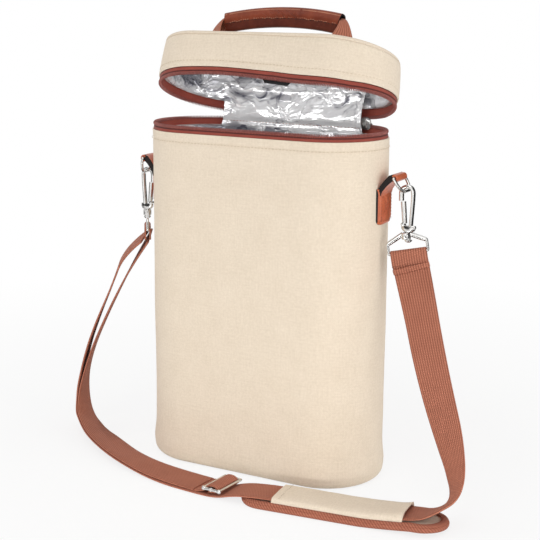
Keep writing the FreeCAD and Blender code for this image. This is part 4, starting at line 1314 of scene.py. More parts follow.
@dataclass
class BagBody:
    """Canvas wall, base, zip half, foil lining and divider of the bag."""

    finishes: Palette
    repeat: PathRepeat
    track: Track = field(default_factory=Track)
    height: float = 285.0
    base_round: float = 5.5
    canvas: float = 1.4
    stitch_drop: float = 7.0
    zip_gap: float = 58.3

    def wall_swell(self, run: float, height: float, share: float) -> float:
        """Give how far the padded wall stands out.

        Args:
            run: Distance along the outline.
            height: Height on the wall.
            share: Strength.

        Returns:
            The way outward in millimetres.
        """
        soft = noise.noise(Vector((run / 55, height / 70, 3.1))) * 0.5
        fine = noise.noise(Vector((run / 14, height / 16, 8.7))) * 0.10
        belly = 0.9 * math.sin(math.pi * min(max(height / self.height, 0), 1)) ** 0.8
        gap = abs(height - (self.height - self.stitch_drop))
        sunk = 0.25 * math.exp(-(gap / 1.6) ** 2) * (0.75 + 0.25 * math.sin(TURN * run / 3.2))
        foot = 2.0 * math.exp(-((height - 11) / 12) ** 2)
        return share * (soft + fine + belly + foot - sunk)

    def wall(self) -> None:
        """Make the outer canvas with its turned top edge and rounded foot."""
        top, foot = self.height, self.base_round
        profile = [(self.canvas, top - 22, 0), (self.canvas, top - 1, 0), (1.15, top + 0.1, 0),
                   (0.6, top + 0.35, 0), (0.15, top, 0.1), (0, top - 0.8, 0.2)]
        heights = np.concatenate([np.arange(top - 2, top - 14, -0.8), np.linspace(top - 15, foot, 64)])
        profile += [(0, height, min(1, 0.8 + 0.2 * (height - foot) / 8)) for height in heights]
        for angle in np.linspace(6, 90, 12):
            turn = math.radians(angle)
            profile.append((foot * (1 - math.cos(turn)), foot * (1 - math.sin(turn)), 0.8 * (1 - angle / 90)))
        profile += [(12, 0.05, 0), (12.05, 1.2, 0), (11, 1.4, 0)]
        inner = foot - self.canvas
        for angle in np.linspace(84, 0, 6):
            turn = math.radians(angle)
            profile.append((foot - inner * math.cos(turn), foot - inner * math.sin(turn), 0))
        rows = self.track.sweep(np.array(profile), self.track.runs(2.4), self.wall_swell)
        left = np.clip((-rows[..., 0] - 45) / 60, 0, 1)
        low = np.exp(-np.clip(rows[..., 2], 0, None) / 14)
        rows[..., 0] += left * (1.5 * np.sin(math.pi * np.clip(rows[..., 2] / top, 0, 1)) ** 0.5 + 0.8 * low)
        draft = Draft("body_canvas_wall", self.finishes.canvas)
        wall = draft.skin(rows, around=True, along=True).build(crease=60)
        attach(wall, "bag", "canvas", "body_canvas")

    def base(self) -> None:
        """Make the sewn base panel."""
        middle = self.track.radius
        profile = np.array([(middle, 1.3), (30, 1.3), (14, 1.3), (12.4, 1.2), (12.2, 0.8), (12.3, 0.3),
                            (13, 0.1), (14.5, 0.25), (20, 0.45), (34, 0.6), (middle, 0.6)])
        panel = Draft("base_canvas_panel", self.finishes.canvas)
        piece = panel.skin(self.track.sweep(profile, self.track.runs(4)), around=True).build()
        attach(piece, "bag", "canvas", "base_panel")

    def seams(self) -> None:
        """Sew the hem of the wall and the base seam."""
        runs = np.append(self.track.runs(2.0), self.track.length)
        row = self.track.line(runs, -0.42, self.height - self.stitch_drop)
        piece = self.repeat.lay("body_hem_stitches", [row], self.finishes.thread, 3.1, (2.3, 0.55, 0.35))
        attach(piece, "bag", "canvas")
        spots, _ = self.track.spots(runs, 15.0)
        foot = np.hstack([spots, np.full((len(runs), 1), 0.22)])
        piece = self.repeat.lay("base_seam_stitches", [(foot, DOWN)], self.finishes.thread, 3.1,
                                (2.3, 0.55, 0.3))
        attach(piece, "bag", "canvas")

    def zip_half(self) -> None:
        """Make the tape and the coil's teeth of the lower zip half."""
        runs = np.linspace(self.zip_gap, self.track.length - self.zip_gap, 190)
        heights = (279.2, 279.2, 289.3, 289.9, 289.4, 288.8, 288.3, 288.0, 287.6, 286.6, 285.3, 284.4)
        profile = np.stack([TAPE_INSETS, heights], axis=1)
        tape = Draft("body_tape", self.finishes.tape, self.finishes.groove)
        rows = self.track.sweep(profile, runs).transpose(1, 0, 2)
        # The fold columns take the painted shade finish.
        tape.skin(rows, around=True, capped=0).band(TAPE_SHADED_FOLDS, len(profile))
        piece = tape.build(crease=50)
        attach(piece, "bag", "zip_tape", "body_zip_tape")
        line = self.track.line(runs, 2.0, 289.95)
        teeth = self.repeat.lay("body_coil_teeth", [line], self.finishes.coil, 1.35, (0.95, 3.4, 2.5))
        attach(teeth, "bag", "zip_coil", "body_zip_coil")

    def foil_swell(self, run: float, height: float, share: float) -> float:
        """Give the creases of the foil lining, inward only."""
        return -share * max(0.0, 1.1 + wrinkle(run, height, 1.7, ((50, 1.4), (22, 0.8))))

    def lining(self) -> None:
        """Make the creased foil cup with a bound rim."""
        heights = np.concatenate([np.linspace(16, 225, 36), np.arange(228, 283.5, 2.2)])
        middle = self.track.radius
        profile = [(middle, 10.3, 0), (20, 10.3, 0), (7, 10.3, 0), (5.8, 12, 0), (5.8, 283.2, 0),
                   (6.0, 283.9, 0), (6.5, 283.9, 0.2), (6.8, 283.4, 0.4)]
        profile += [(6.8, height, 1) for height in heights[::-1]]
        profile += [(7.6, 12.2, 0.4), (9.5, 11.3, 0.2), (22, 11.2, 0), (middle, 11.2, 0)]
        rows = self.track.sweep(np.array(profile), self.track.runs(2.6), self.foil_swell)
        cup = Draft("foil_lining_cup", self.finishes.foil).skin(rows, around=True)
        piece = cup.build(crease=70)
        attach(piece, "bag", "foil", "body_lining")
        self.track.length * MM
        self.track.cup_area(273)

    def divider(self) -> None:
        """Make the padded divider between the two pockets."""
        low, high = (np.array(corner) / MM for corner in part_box("bottle_divider"))
        middle, half = (low + high) / 2, (high - low) / 2
        heights = np.linspace(-1, 1, 26)
        line = np.array([(middle[0], middle[1], middle[2] + half[2] * height) for height in heights])
        sections = []
        for height in heights:
            puff = 0.86 + 0.14 * math.sqrt(max(0, 1 - height ** 8)) + 0.05 * math.sin(height * 9)
            sections.append(oval(half[1], half[0] * puff, 7, 40))
        draft = Draft("foil_divider", self.finishes.foil)
        piece = draft.tube(line, (0, 1, 0), np.array(sections)).build()
        attach(piece, "bag", "foil", "bottle_divider")

    def core(self) -> None:
        """Dress the hidden foam and board."""
        for node, finish_used in (("base_board", self.finishes.board), ("base_foam", self.finishes.foam),
                                  ("body_foam", self.finishes.foam)):
            dress(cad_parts[node].data, finish_used)

    def build(self) -> None:
        """Make every piece of the body."""
        self.wall()
        self.base()
        self.seams()
        self.zip_half()
        self.lining()
        self.divider()
        self.core()


@dataclass
class Lid:
    """Gusset, top panel, zip half, foil, hinge cloth and label of the lid."""

    finishes: Palette
    repeat: PathRepeat
    track: Track = field(default_factory=Track)
    hinge: Point = (0.0, 48.5, 292.6)
    tilt: float = 22.2
    back: float = -48.5
    top: float = 42.5
    seam: float = 39.0
    edge: float = 8.8
    stitch_rise: float = 5.0
    zip_gap: float = 58.3
    film_seam: float = 288.4
    label_middle: float = 27.0
    label_inset: float = 3.5

    @property
    def place(self) -> Matrix:
        """Move from the lid's own frame to the bag's, in millimetres."""
        return Matrix.Translation(self.hinge) @ Matrix.Rotation(-math.radians(self.tilt), 4, "X")

    def loosened(self, rows: np.ndarray) -> np.ndarray:
        """Let the soft lid sag a little out of its true outline, as it hangs when open.

        Args:
            rows: Points in the lid's frame.

        Returns:
            The moved points.
        """
        x, y, z = rows[..., 0], rows[..., 1], rows[..., 2]
        low = np.clip(1 - (z - 2) / (self.top - 2), 0, 1.05)
        front = np.clip(-y / self.track.depth, 0, 1)
        right = np.clip((x - 25) / 80, 0, 1.05)
        left = np.clip(-x / 105, 0, 1)
        moved = rows.copy()
        moved[..., 0] += 5.6 * right ** 2 * low + 1.4 * left
        lifted = 4.1 * np.exp(-((x + 30) / 52) ** 2) - 4.8 * right * (1.05 - right)
        moved[..., 2] += low * front * lifted + 2.6 * low * np.clip((x - 85) / 20, 0, 1)
        return moved

    def wall_swell(self, run: float, height: float, share: float) -> float:
        """Give how far the padded gusset stands out.

        Args:
            run: Distance along the outline.
            height: Height in the lid's frame.
            share: Strength.

        Returns:
            The way outward in millimetres.
        """
        soft = noise.noise(Vector((run / 45, height / 30, 13.3))) * 0.35
        belly = 0.5 * math.sin(math.pi * min(max((height - self.edge) / (self.top - self.edge), 0), 1))
        gap = abs(height - (self.edge + self.stitch_rise))
        sunk = 0.25 * math.exp(-(gap / 1.5) ** 2) * (0.75 + 0.25 * math.sin(TURN * run / 3.1))
        groove = 0.55 * math.exp(-((height - self.seam) / 0.7) ** 2)
        return share * (soft + belly - sunk - groove)

    def gusset(self) -> None:
        """Make the canvas wall of the lid."""
        low, seam = self.edge, self.seam
        profile = [(1.4, seam - 0.6, 0), (1.4, low + 0.8, 0), (1.1, low - 0.1, 0), (0.6, low - 0.35, 0),
                   (0.15, low, 0.1), (0, low + 0.8, 0.3)]
        profile += [(0, height, 1) for height in np.concatenate([np.arange(low + 1.6, low + 9, 0.8),
                                                                 np.linspace(low + 10, seam - 0.5, 18)])]
        profile += [(0.2, seam - 0.1, 1), (0.7, seam, 0)]
        rows = self.track.sweep(np.array(profile), self.track.runs(2.4), self.wall_swell, self.back)
        draft = Draft("lid_canvas_gusset", self.finishes.canvas)
        piece = draft.skin(self.loosened(rows), around=True, along=True).build(self.place, crease=60)
        attach(piece, "lid", "canvas", "lid_gusset")

    def top_panel(self) -> None:
        """Make the crowned top panel, swollen by cloth pressure."""
        round_edge, middle, under = 3.2, self.track.radius, self.top - 1.4
        profile = [(middle, under), (24, under), (6, under), (1.8, self.top - 1.6), (1.1, self.seam + 0.1),
                   (0.6, self.seam - 0.05), (0.12, self.seam + 0.05), (0, self.seam + 0.35)]
        for angle in np.linspace(15, 90, 6):
            turn = math.radians(angle)
            profile.append((round_edge * (1 - math.cos(turn)), self.top - round_edge * (1 - math.sin(turn))))
        insets = np.linspace(5.2, middle, 20)
        profile += [(inset, self.top + 0.3 * (1 - math.exp(-inset / 8))) for inset in insets]
        rows = self.loosened(self.track.sweep(np.array(profile), self.track.runs(3.4), None, self.back))
        draft = Draft("lid_canvas_top", self.finishes.canvas)
        piece = draft.skin(rows, around=True).build(self.place, crease=60)
        inverse = self.place.inverted()
        kept = []
        for vertex in piece.data.vertices:
            spot = inverse @ (vertex.co / MM)
            if spot.z < self.top - 0.02 or self.outline_gap(spot) < 4.0:
                kept.append(vertex.index)
        ClothPress(cap=1.6).swell(piece, kept)
        attach(piece, "lid", "canvas", "lid_top")

    def outline_gap(self, spot: Vector) -> float:
        """Give how far a point of the lid's frame lies inside the outline."""
        beyond = max(abs(spot.x) - self.track.half_run, 0)
        return self.track.radius - math.hypot(beyond, spot.y - self.back)

    def seams(self) -> None:
        """Sew the gusset's hem."""
        runs = np.append(self.track.runs(2.0), self.track.length)
        line, out = self.track.line(runs, -0.22, self.edge + self.stitch_rise, self.back)
        row = (self.loosened(line), out)
        piece = self.repeat.lay("lid_hem_stitches", placed([row], self.place), self.finishes.thread, 3.1,
                                (2.3, 0.55, 0.35))
        attach(piece, "lid", "canvas")

    def zip_half(self) -> None:
        """Make the tape and the coil's teeth of the upper zip half."""
        runs = np.linspace(self.zip_gap, self.track.length - self.zip_gap, 190)
        heights = (13.8, 13.8, 3.4, 2.9, 3.4, 4.2, 4.7, 5.0, 5.4, 6.6, 8.0, 9.2)
        profile = np.stack([TAPE_INSETS, heights], axis=1)
        tape = Draft("lid_tape", self.finishes.tape, self.finishes.groove)
        rows = self.loosened(self.track.sweep(profile, runs, None, self.back)).transpose(1, 0, 2)
        # The fold columns take the painted shade finish.
        tape.skin(rows, around=True, capped=0).band(TAPE_SHADED_FOLDS, len(profile))
        piece = tape.build(self.place, crease=50)
        attach(piece, "lid", "zip_tape", "lid_zip_tape")
        line, out = self.track.line(runs, 2.0, 2.9, self.back)
        row = (self.loosened(line), out)
        teeth = self.repeat.lay("lid_coil_teeth", placed([row], self.place), self.finishes.coil, 1.35,
                                (0.95, 3.4, 2.5))
        attach(teeth, "lid", "zip_coil", "lid_zip_coil")

    def foil_swell(self, run: float, height: float, share: float) -> float:
        """Give the creases of the foil lining, inward only."""
        return -share * max(0.0, 1.2 + wrinkle(run, height, 5.9, ((48, 1.5), (21, 0.6))))

    def lining(self) -> None:
        """Make the creased foil cup of the lid."""
        middle = self.track.radius
        profile = [(middle, 36.6, 0), (20, 36.6, 0), (6, 36.6, 0), (5.8, 36, 0), (5.8, 9.4, 0), (6.1, 8.9, 0),
                   (6.6, 9.0, 0.2), (6.8, 9.6, 0.5)]
        profile += [(6.8, height, 1) for height in np.linspace(10.5, 33, 14)]
        profile += [(8, 34.8, 0.6), (10, 35.6, 0.3)]
        inner = len(profile)
        profile += [(inset, 35.7, 0) for inset in np.linspace(12.5, middle, 15)]
        rows = self.track.sweep(np.array(profile), self.track.runs(2.6), self.foil_swell, self.back)
        for row in rows[inner:-1]:
            for spot in row:
                spot[2] -= max(0.0, 1.6 + wrinkle(spot[0], spot[1], 9.2, ((55, 2.4), (26, 1.1))))
        depth = np.clip((rows[..., 1] - self.back - 2) / 32, 0, 1)
        span = np.clip((66 - np.abs(rows[..., 0])) / 16, 0, 1)
        upper = np.clip((rows[..., 2] - 19) / 14, 0, 1)
        wave = 12.0 + 1.6 * np.sin(rows[..., 0] / 9.0) + 1.2 * np.sin(rows[..., 0] / 4.1 + 1)
        rows[..., 2] -= wave * depth ** 2 * (3 - 2 * depth) * span * upper
        cup = Draft("lid_foil_cup", self.finishes.foil).skin(self.loosened(rows), around=True)
        piece = cup.build(self.place, crease=70)
        attach(piece, "lid", "foil", "lid_lining")
        self.track.cup_area(27)

    @property
    def hinge_half(self) -> float:
        """Half the width of the hinge cloth."""
        return self.track.half_run - 0.3

    def upper(self, depth: float, height: float) -> tuple[float, float]:
        """Find a point of the lid's frame in the bag's, as its depth and height."""
        spot = np.array(self.place) @ np.array([0, self.back + depth, height, 1])
        return float(spot[1]), float(spot[2])

    def hinge_cloth(self) -> None:
        """Make the canvas that crosses the hinge at the back."""
        outer = [(47.2, 284.0), (47.3, 287.5), self.upper(47.3, 5.0), self.upper(47.2, 9.0)]
        inner = [(46.0, 284.0), (46.0, 287.5), self.upper(46.0, 5.0), self.upper(46.0, 9.0)]
        rims = [smooth_line([(0, *spot) for spot in rim], 6) for rim in (outer, inner)]
        loop = np.vstack([rims[0], rims[1][::-1]])
        columns = np.linspace(-self.hinge_half, self.hinge_half, 60)
        rows = np.array([loop + (column, 0, 0) for column in columns])
        draft = Draft("hinge_canvas", self.finishes.canvas)
        piece = draft.skin(rows, around=True, capped=0).build(crease=60)
        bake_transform(piece)
        finish(piece, "canvas", "body_hinge_panel", "lid_hinge_panel")

    def hinge_film(self) -> None:
        """Make the sewn foil that crosses the hinge inside."""
        path = [(41.0, 279.0), (40.6, 284.0), (40.4, 289.0)]
        above = ((40.2, 5.0), (39.8, 11.0), (39.2, 17.0), (37.5, 21.5), (33.0, 24.5))
        path += [self.upper(*spot) for spot in above]
        rim = smooth_line([(0, *spot) for spot in path], 6)
        sheet = []
        bow = np.sin(np.linspace(0, math.pi, len(rim)))
        for column in np.linspace(-67.5, 70.0, 68):
            row = rim + (column, 0, 0)
            row[:, 0] -= 2.0 * bow * (column / 64) ** 5
            row[:, 1] -= 0.5 * (np.clip(abs(column) - self.hinge_half, 0, None) / 5) ** 2
            for number, spot in enumerate(row):
                fade = math.sin(math.pi * number / (len(row) - 1)) ** 0.5
                fade *= 1 - 0.75 * math.exp(-((spot[2] - self.film_seam) / 2.6) ** 2)
                spot[1] -= fade * (1.6 + wrinkle(column, spot[2] * 1.6, 21.4, ((60, 2.2), (27, 1.2))))
            sheet.append(np.vstack([row, (row + (0, 0.5, 0))[::-1]]))
        draft = Draft("hinge_foil", self.finishes.film)
        piece = draft.skin(np.array(sheet), around=True, capped=0).build(crease=70)
        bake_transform(piece)
        finish(piece, "foil")
        level = int(np.argmin(np.abs(rim[:, 2] - self.film_seam)))
        seam = np.array([row[level] - (0, 0.25, 0) for row in sheet[2:-2]])
        piece = self.repeat.lay("hinge_foil_stitches", [(seam, FRONT)], self.finishes.dark_thread, 3.2,
                                (2.2, 0.5, 0.6))
        attach(piece, "bag", "foil")

    def label(self) -> None:
        """Make the bare label sewn behind the front of the zip."""
        rows = []
        for height in np.linspace(9, -1, 10):
            half = 11.0 + 0.75 * min(height, 4)
            bow = 0.25 * math.sin(height * 0.4)
            depth = self.back - (self.track.radius - self.label_inset) + bow
            front = [(self.label_middle + half * share, depth + 0.1 * math.cos(share * 3), height)
                     for share in np.linspace(-1, 1, 14)]
            rear = [(x, y + 0.5, z) for x, y, z in front[::-1]]
            rows.append(front + rear)
        draft = Draft("bare_label", self.finishes.label)
        piece = draft.skin(self.loosened(np.array(rows)), around=True, capped=0).build(self.place)
        attach(piece, "lid", "label", "lid_label")

    def core(self) -> None:
        """Make the hidden foam of the wall and dress that of the top."""
        levels = np.linspace(10.2, 37.4, 9)
        profile = [(1.7, level) for level in levels] + [(5.5, level) for level in levels[::-1]]
        rows = self.loosened(self.track.sweep(np.array(profile), self.track.runs(6), None, self.back))
        draft = Draft("lid_foam_wall", self.finishes.foam)
        piece = draft.skin(rows, around=True, along=True).build(self.place, crease=60)
        attach(piece, "lid", "foam", "lid_foam")
        dress(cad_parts["lid_top_foam"].data, self.finishes.foam)

    def build(self) -> None:
        """Make every piece of the lid."""
        self.gusset()
        self.top_panel()
        self.seams()
        self.zip_half()
        self.lining()
        self.hinge_cloth()
        self.hinge_film()
        self.label()
        self.core()


@dataclass
class CarryHandle:
    """Leather-wrapped grip and the webbing that fans out to the lid."""

    finishes: Palette
    repeat: PathRepeat
    lid: Lid
    arch: float = 264.0
    rise: float = 72.0
    left: float = 56.0
    right: float = 51.0
    tall: float = 17.0
    deep: float = 10.5

    def arc(self, x: float) -> float:
        """Give the height of the grip's middle line."""
        return self.rise - self.arch + math.sqrt(self.arch ** 2 - x * x)

    def grip_section(self, x: float) -> np.ndarray:
        """Give the wrap's section: full above, sewn flat below.

        Args:
            x: Place along the grip.

        Returns:
            Points (depth, height).
        """
        half = self.tall / 2
        points = []
        for angle in np.linspace(0, TURN, 48, endpoint=False):
            depth, height = math.sin(angle), math.cos(angle)
            height = math.copysign(abs(height) ** 0.72, height)
            full = self.deep / 2 * (1 - 0.40 / (1 + math.exp((height + 0.30) * 14)))
            seam = 0.5 * math.exp(-((height + 0.24 + 0.03 * math.sin(x / 1.1)) / 0.06) ** 2)
            seam -= 0.45 * math.exp(-((height - 0.80) / 0.09) ** 2)
            pull = sum(math.exp(-((x - start + 7 * height) / 0.9) ** 2) for start in (-13, -5, 2, 6, 13))
            crinkle = 0.6 * pull * math.exp(-((height - 0.05) / 0.35) ** 2)
            scale = abs(depth) ** 0.55 * math.copysign(1, depth)
            points.append((scale * (full - seam + crinkle), half * height))
        return np.array(points)

    def shade_at(self, x: float, angle: float) -> int:
        """Choose the wrap's finish: a painted highlight band under its top edge, broken at random, and
        painted shade below the seam.

        Args:
            x: Place along the grip.
            angle: Place round the section, from its top.

        Returns:
            The number of the finish in the grip's draft.
        """
        height = math.copysign(abs(math.cos(angle)) ** 0.72, math.cos(angle))
        chance = noise.noise(Vector((x / 4.0, height * 3, 4.4)))
        if 0.60 < height < 0.70:
            return 2 if chance > -0.42 else 0
        return 3 if height < -0.25 else 0

    def grip(self) -> None:
        """Make the leather wrap with hollow ends."""
        places = np.linspace(-self.left, self.right, 260)
        line = np.array([(x, self.lid.back, self.arc(x)) for x in places])
        sections = np.array([self.grip_section(x) for x in places])
        outer = ribbed(line, (0, -1, 0), sections)
        ends = []
        for row, middle, way in ((outer[0], line[0], 1), (outer[-1], line[-1], -1)):
            thin = middle + (row - middle) * 0.80
            deep = thin + (way * 5.0, 0, 0)
            ends.append((row, thin, deep))
        rows = np.vstack([[ends[0][2], ends[0][1]], outer, [ends[1][1], ends[1][2]]])
        kinds = self.finishes
        # Finish 2 is a painted highlight and finish 3 a painted shade on the wrap.
        draft = Draft("leather_grip", kinds.grip, kinds.edge, kinds.painted_highlight, kinds.under)
        draft.skin(rows, around=True, capped=1)
        count = rows.shape[1]
        for number, x in enumerate(places[:-1]):
            for column in range(count):
                draft.marks[(number + 2) * count + column] = self.shade_at(x, TURN * (column + 0.5) / count)
        for number in range(count):
            draft.marks[number] = draft.marks[count + number] = 1
            draft.marks[-3 - number] = draft.marks[-3 - count - number] = 1
        piece = draft.build(self.lid.place, crease=50)
        attach(piece, "handle", "leather", "handle_grip")

    def seam_rows(self, start: float, end: float, count: int, out_share: float,
                  drop: Callable[[float], float]) -> list[Line]:
        """Give a row along each face of the grip.

        Args:
            start: Where the rows begin.
            end: Where they end.
            count: Points in a row.
            out_share: How far out they lie, as a share of half the depth.
            drop: Gives the way down from the middle line for a place along the grip.

        Returns:
            Points and outward directions in the bag's frame.
        """
        rows = []
        for way in (-1, 1):
            row = [(x, self.lid.back + way * (self.deep / 2 * out_share), self.arc(x) - drop(x))
                   for x in np.linspace(start, end, count)]
            rows.append((np.array(row), np.array([0.0, way, 0.0])))
        return placed(rows, self.lid.place)

    def grip_marks(self) -> None:
        """Sew the wrap, paint a highlight along its seam, and raise small beads along its pulled creases."""
        half = self.tall / 2
        rows = self.seam_rows(2 - self.left, self.right - 2, 90, 0.78, lambda x: half * 0.27)
        seams = self.repeat.lay("grip_stitches", rows, self.finishes.edge, 3.4, (2.4, 0.5, 0.5))
        attach(seams, "handle", "leather")
        rows = self.seam_rows(6 - self.left, self.right - 3, 130, 0.86,
                              lambda x: half * 0.17 - 0.45 * math.sin(x / 1.3) - 0.5 * math.sin(x / 6.1))
        # Painted highlight: light beads along the seam.
        seam_and_crease_marks = self.repeat.lay("grip_seam_highlights", rows, self.finishes.painted_highlight, 2.1, (1.9, 0.8, 0.45))
        attach(seam_and_crease_marks, "handle", "leather")
        rows = []
        for start, long in ((-15, 5.5), (-6, 7), (1, 8), (5, 6.5), (11, 9)):
            row = [(start - long * share, self.lid.back - self.deep / 2 * (1.0 - 0.02 * share),
                    self.arc(start - long * share) + half * (-0.12 + 0.075 * long * share))
                   for share in np.linspace(0, 1, 12)]
            rows.append((np.array(row), FRONT))
        seam_and_crease_marks = self.repeat.lay("grip_crease_rubs", placed(rows, self.lid.place), self.finishes.grip, 0.9,
                               (1.2, 0.4, 0.7))
        attach(seam_and_crease_marks, "handle", "leather")

    def fans(self) -> None:
        """Make the folded webbing between the lid and each end of the grip."""
        ridge = ((49, 72), (54, 72.8), (58.5, 67.5), (62, 60.5), (64.6, 54), (65.2, 48), (63.0, 42.4))
        wing = ((49.5, 2.0, 69), (53, 4.6, 69.5), (53.8, 7.6, 64.5), (53.2, 10.6, 58.5), (52, 13.6, 52.5),
                (51, 15, 46.5), (50.5, 15.5, 42.4))
        spread = [math.copysign(abs(share) ** 1.25, share) for share in np.linspace(-1, 1, 19)]
        for side in Side:
            way = side.value
            more = self.left - self.right if side is Side.LEFT else 0.0
            middle = smooth_line([(x + more * (z - 42) / 40 + 0.9 * more * math.sin((z - 42) / 9.6), 0, z)
                                  for x, z in ridge], 6)
            edge = smooth_line([(x + more * (z - 42) / 30, y, z) for x, y, z in wing], 6)
            rows = []
            for top, rim in zip(middle, edge):
                outer = [top + (rim - top) * (abs(fold), fold, abs(fold)) for fold in spread]
                rows.append(outer + [spot - (1.2, 0, 0.7) for spot in outer[::-1]])
            rows = np.array(rows) * (way, 1, 1) + (0, self.lid.back, 0)
            draft = Draft(f"{side.label}_handle_webbing", self.finishes.webbing)
            piece = draft.skin(rows, around=True, capped=0).build(self.lid.place, crease=55)
            start = self.lid.place @ Vector((way * 62.8, self.lid.back, 44.0)) * MM
            end = self.lid.place @ Vector((way * 61.0, self.lid.back, 59.0)) * MM
            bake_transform(piece)
            nodes = [f"{side.label}_handle_foot"] + (["handle_webbing"] if side is Side.RIGHT else [])
            finish(piece, "webbing", *nodes)

    def build(self) -> None:
        """Make the grip, its marks and its webbing."""
        self.grip()
        self.grip_marks()
        self.fans()


@dataclass
class ZipRunner:
    """The zip's slider and pull."""

    finishes: Palette
    run_half: float = 57.5
    turn: float = -16.0
    lug: float = 3.4
    pin_height: float = 289.0

    def slider(self) -> None:
        """Make the slider: domed plate inside, neck, face plate outside and the lugs with their pin."""
        forms = (
            (292.35, ((41.9, 1.6, 1.4), (42.0, 3.4, 3.0), (42.25, 4.7, 4.2), (42.6, 5.5, 4.9),
                      (43.0, 5.95, 5.2), (43.4, 6.0, 5.25), (43.6, 5.8, 5.05))),
            (292.6, ((43.4, 1.5, 0.5), (47.2, 1.5, 0.5))),
            (289.9, ((46.9, 4.3, 3.1), (47.1, 4.5, 3.3), (47.5, 4.4, 3.2), (47.75, 3.9, 2.8),
                     (47.85, 2.6, 1.8))))
        draft = Draft("slider_body", self.finishes.slider)
        for height, stations in forms:
            line = np.array([(0, y, height) for y, _, _ in stations])
            draft.tube(line, (1, 0, 0), np.array([oval(wide, high, 2.5, 28) for _, wide, high in stations]))
        for x in (-self.lug, self.lug):
            line = np.array([(x, y, self.pin_height) for y in (47.3, 49.6, 50.3, 50.6)])
            draft.tube(line, (1, 0, 0), np.array([oval(0.5, high, 2.6, 14) for high in (1.4, 1.4, 1.1, 0.6)]))
        pin = np.array([(x, 49.3, self.pin_height) for x in (-self.lug, 0.0, self.lug)])
        draft.tube(pin, (0, 1, 0), oval(0.7, 0.7, 2, 12))
        place = Matrix.Translation((self.run_half, 0, 0)) @ Matrix.Rotation(math.radians(self.turn), 4, "Z")
        attach(draft.build(place, crease=45), "zip_slider", "metal", "zip_slider")

    def build(self) -> None:
        """Make the slider, and round and dress the pull."""
        self.slider()
        attach(refined("zip_pull", "slider_pull", self.finishes.slider, 0.3), "zip_pull", "metal", "zip_pull")


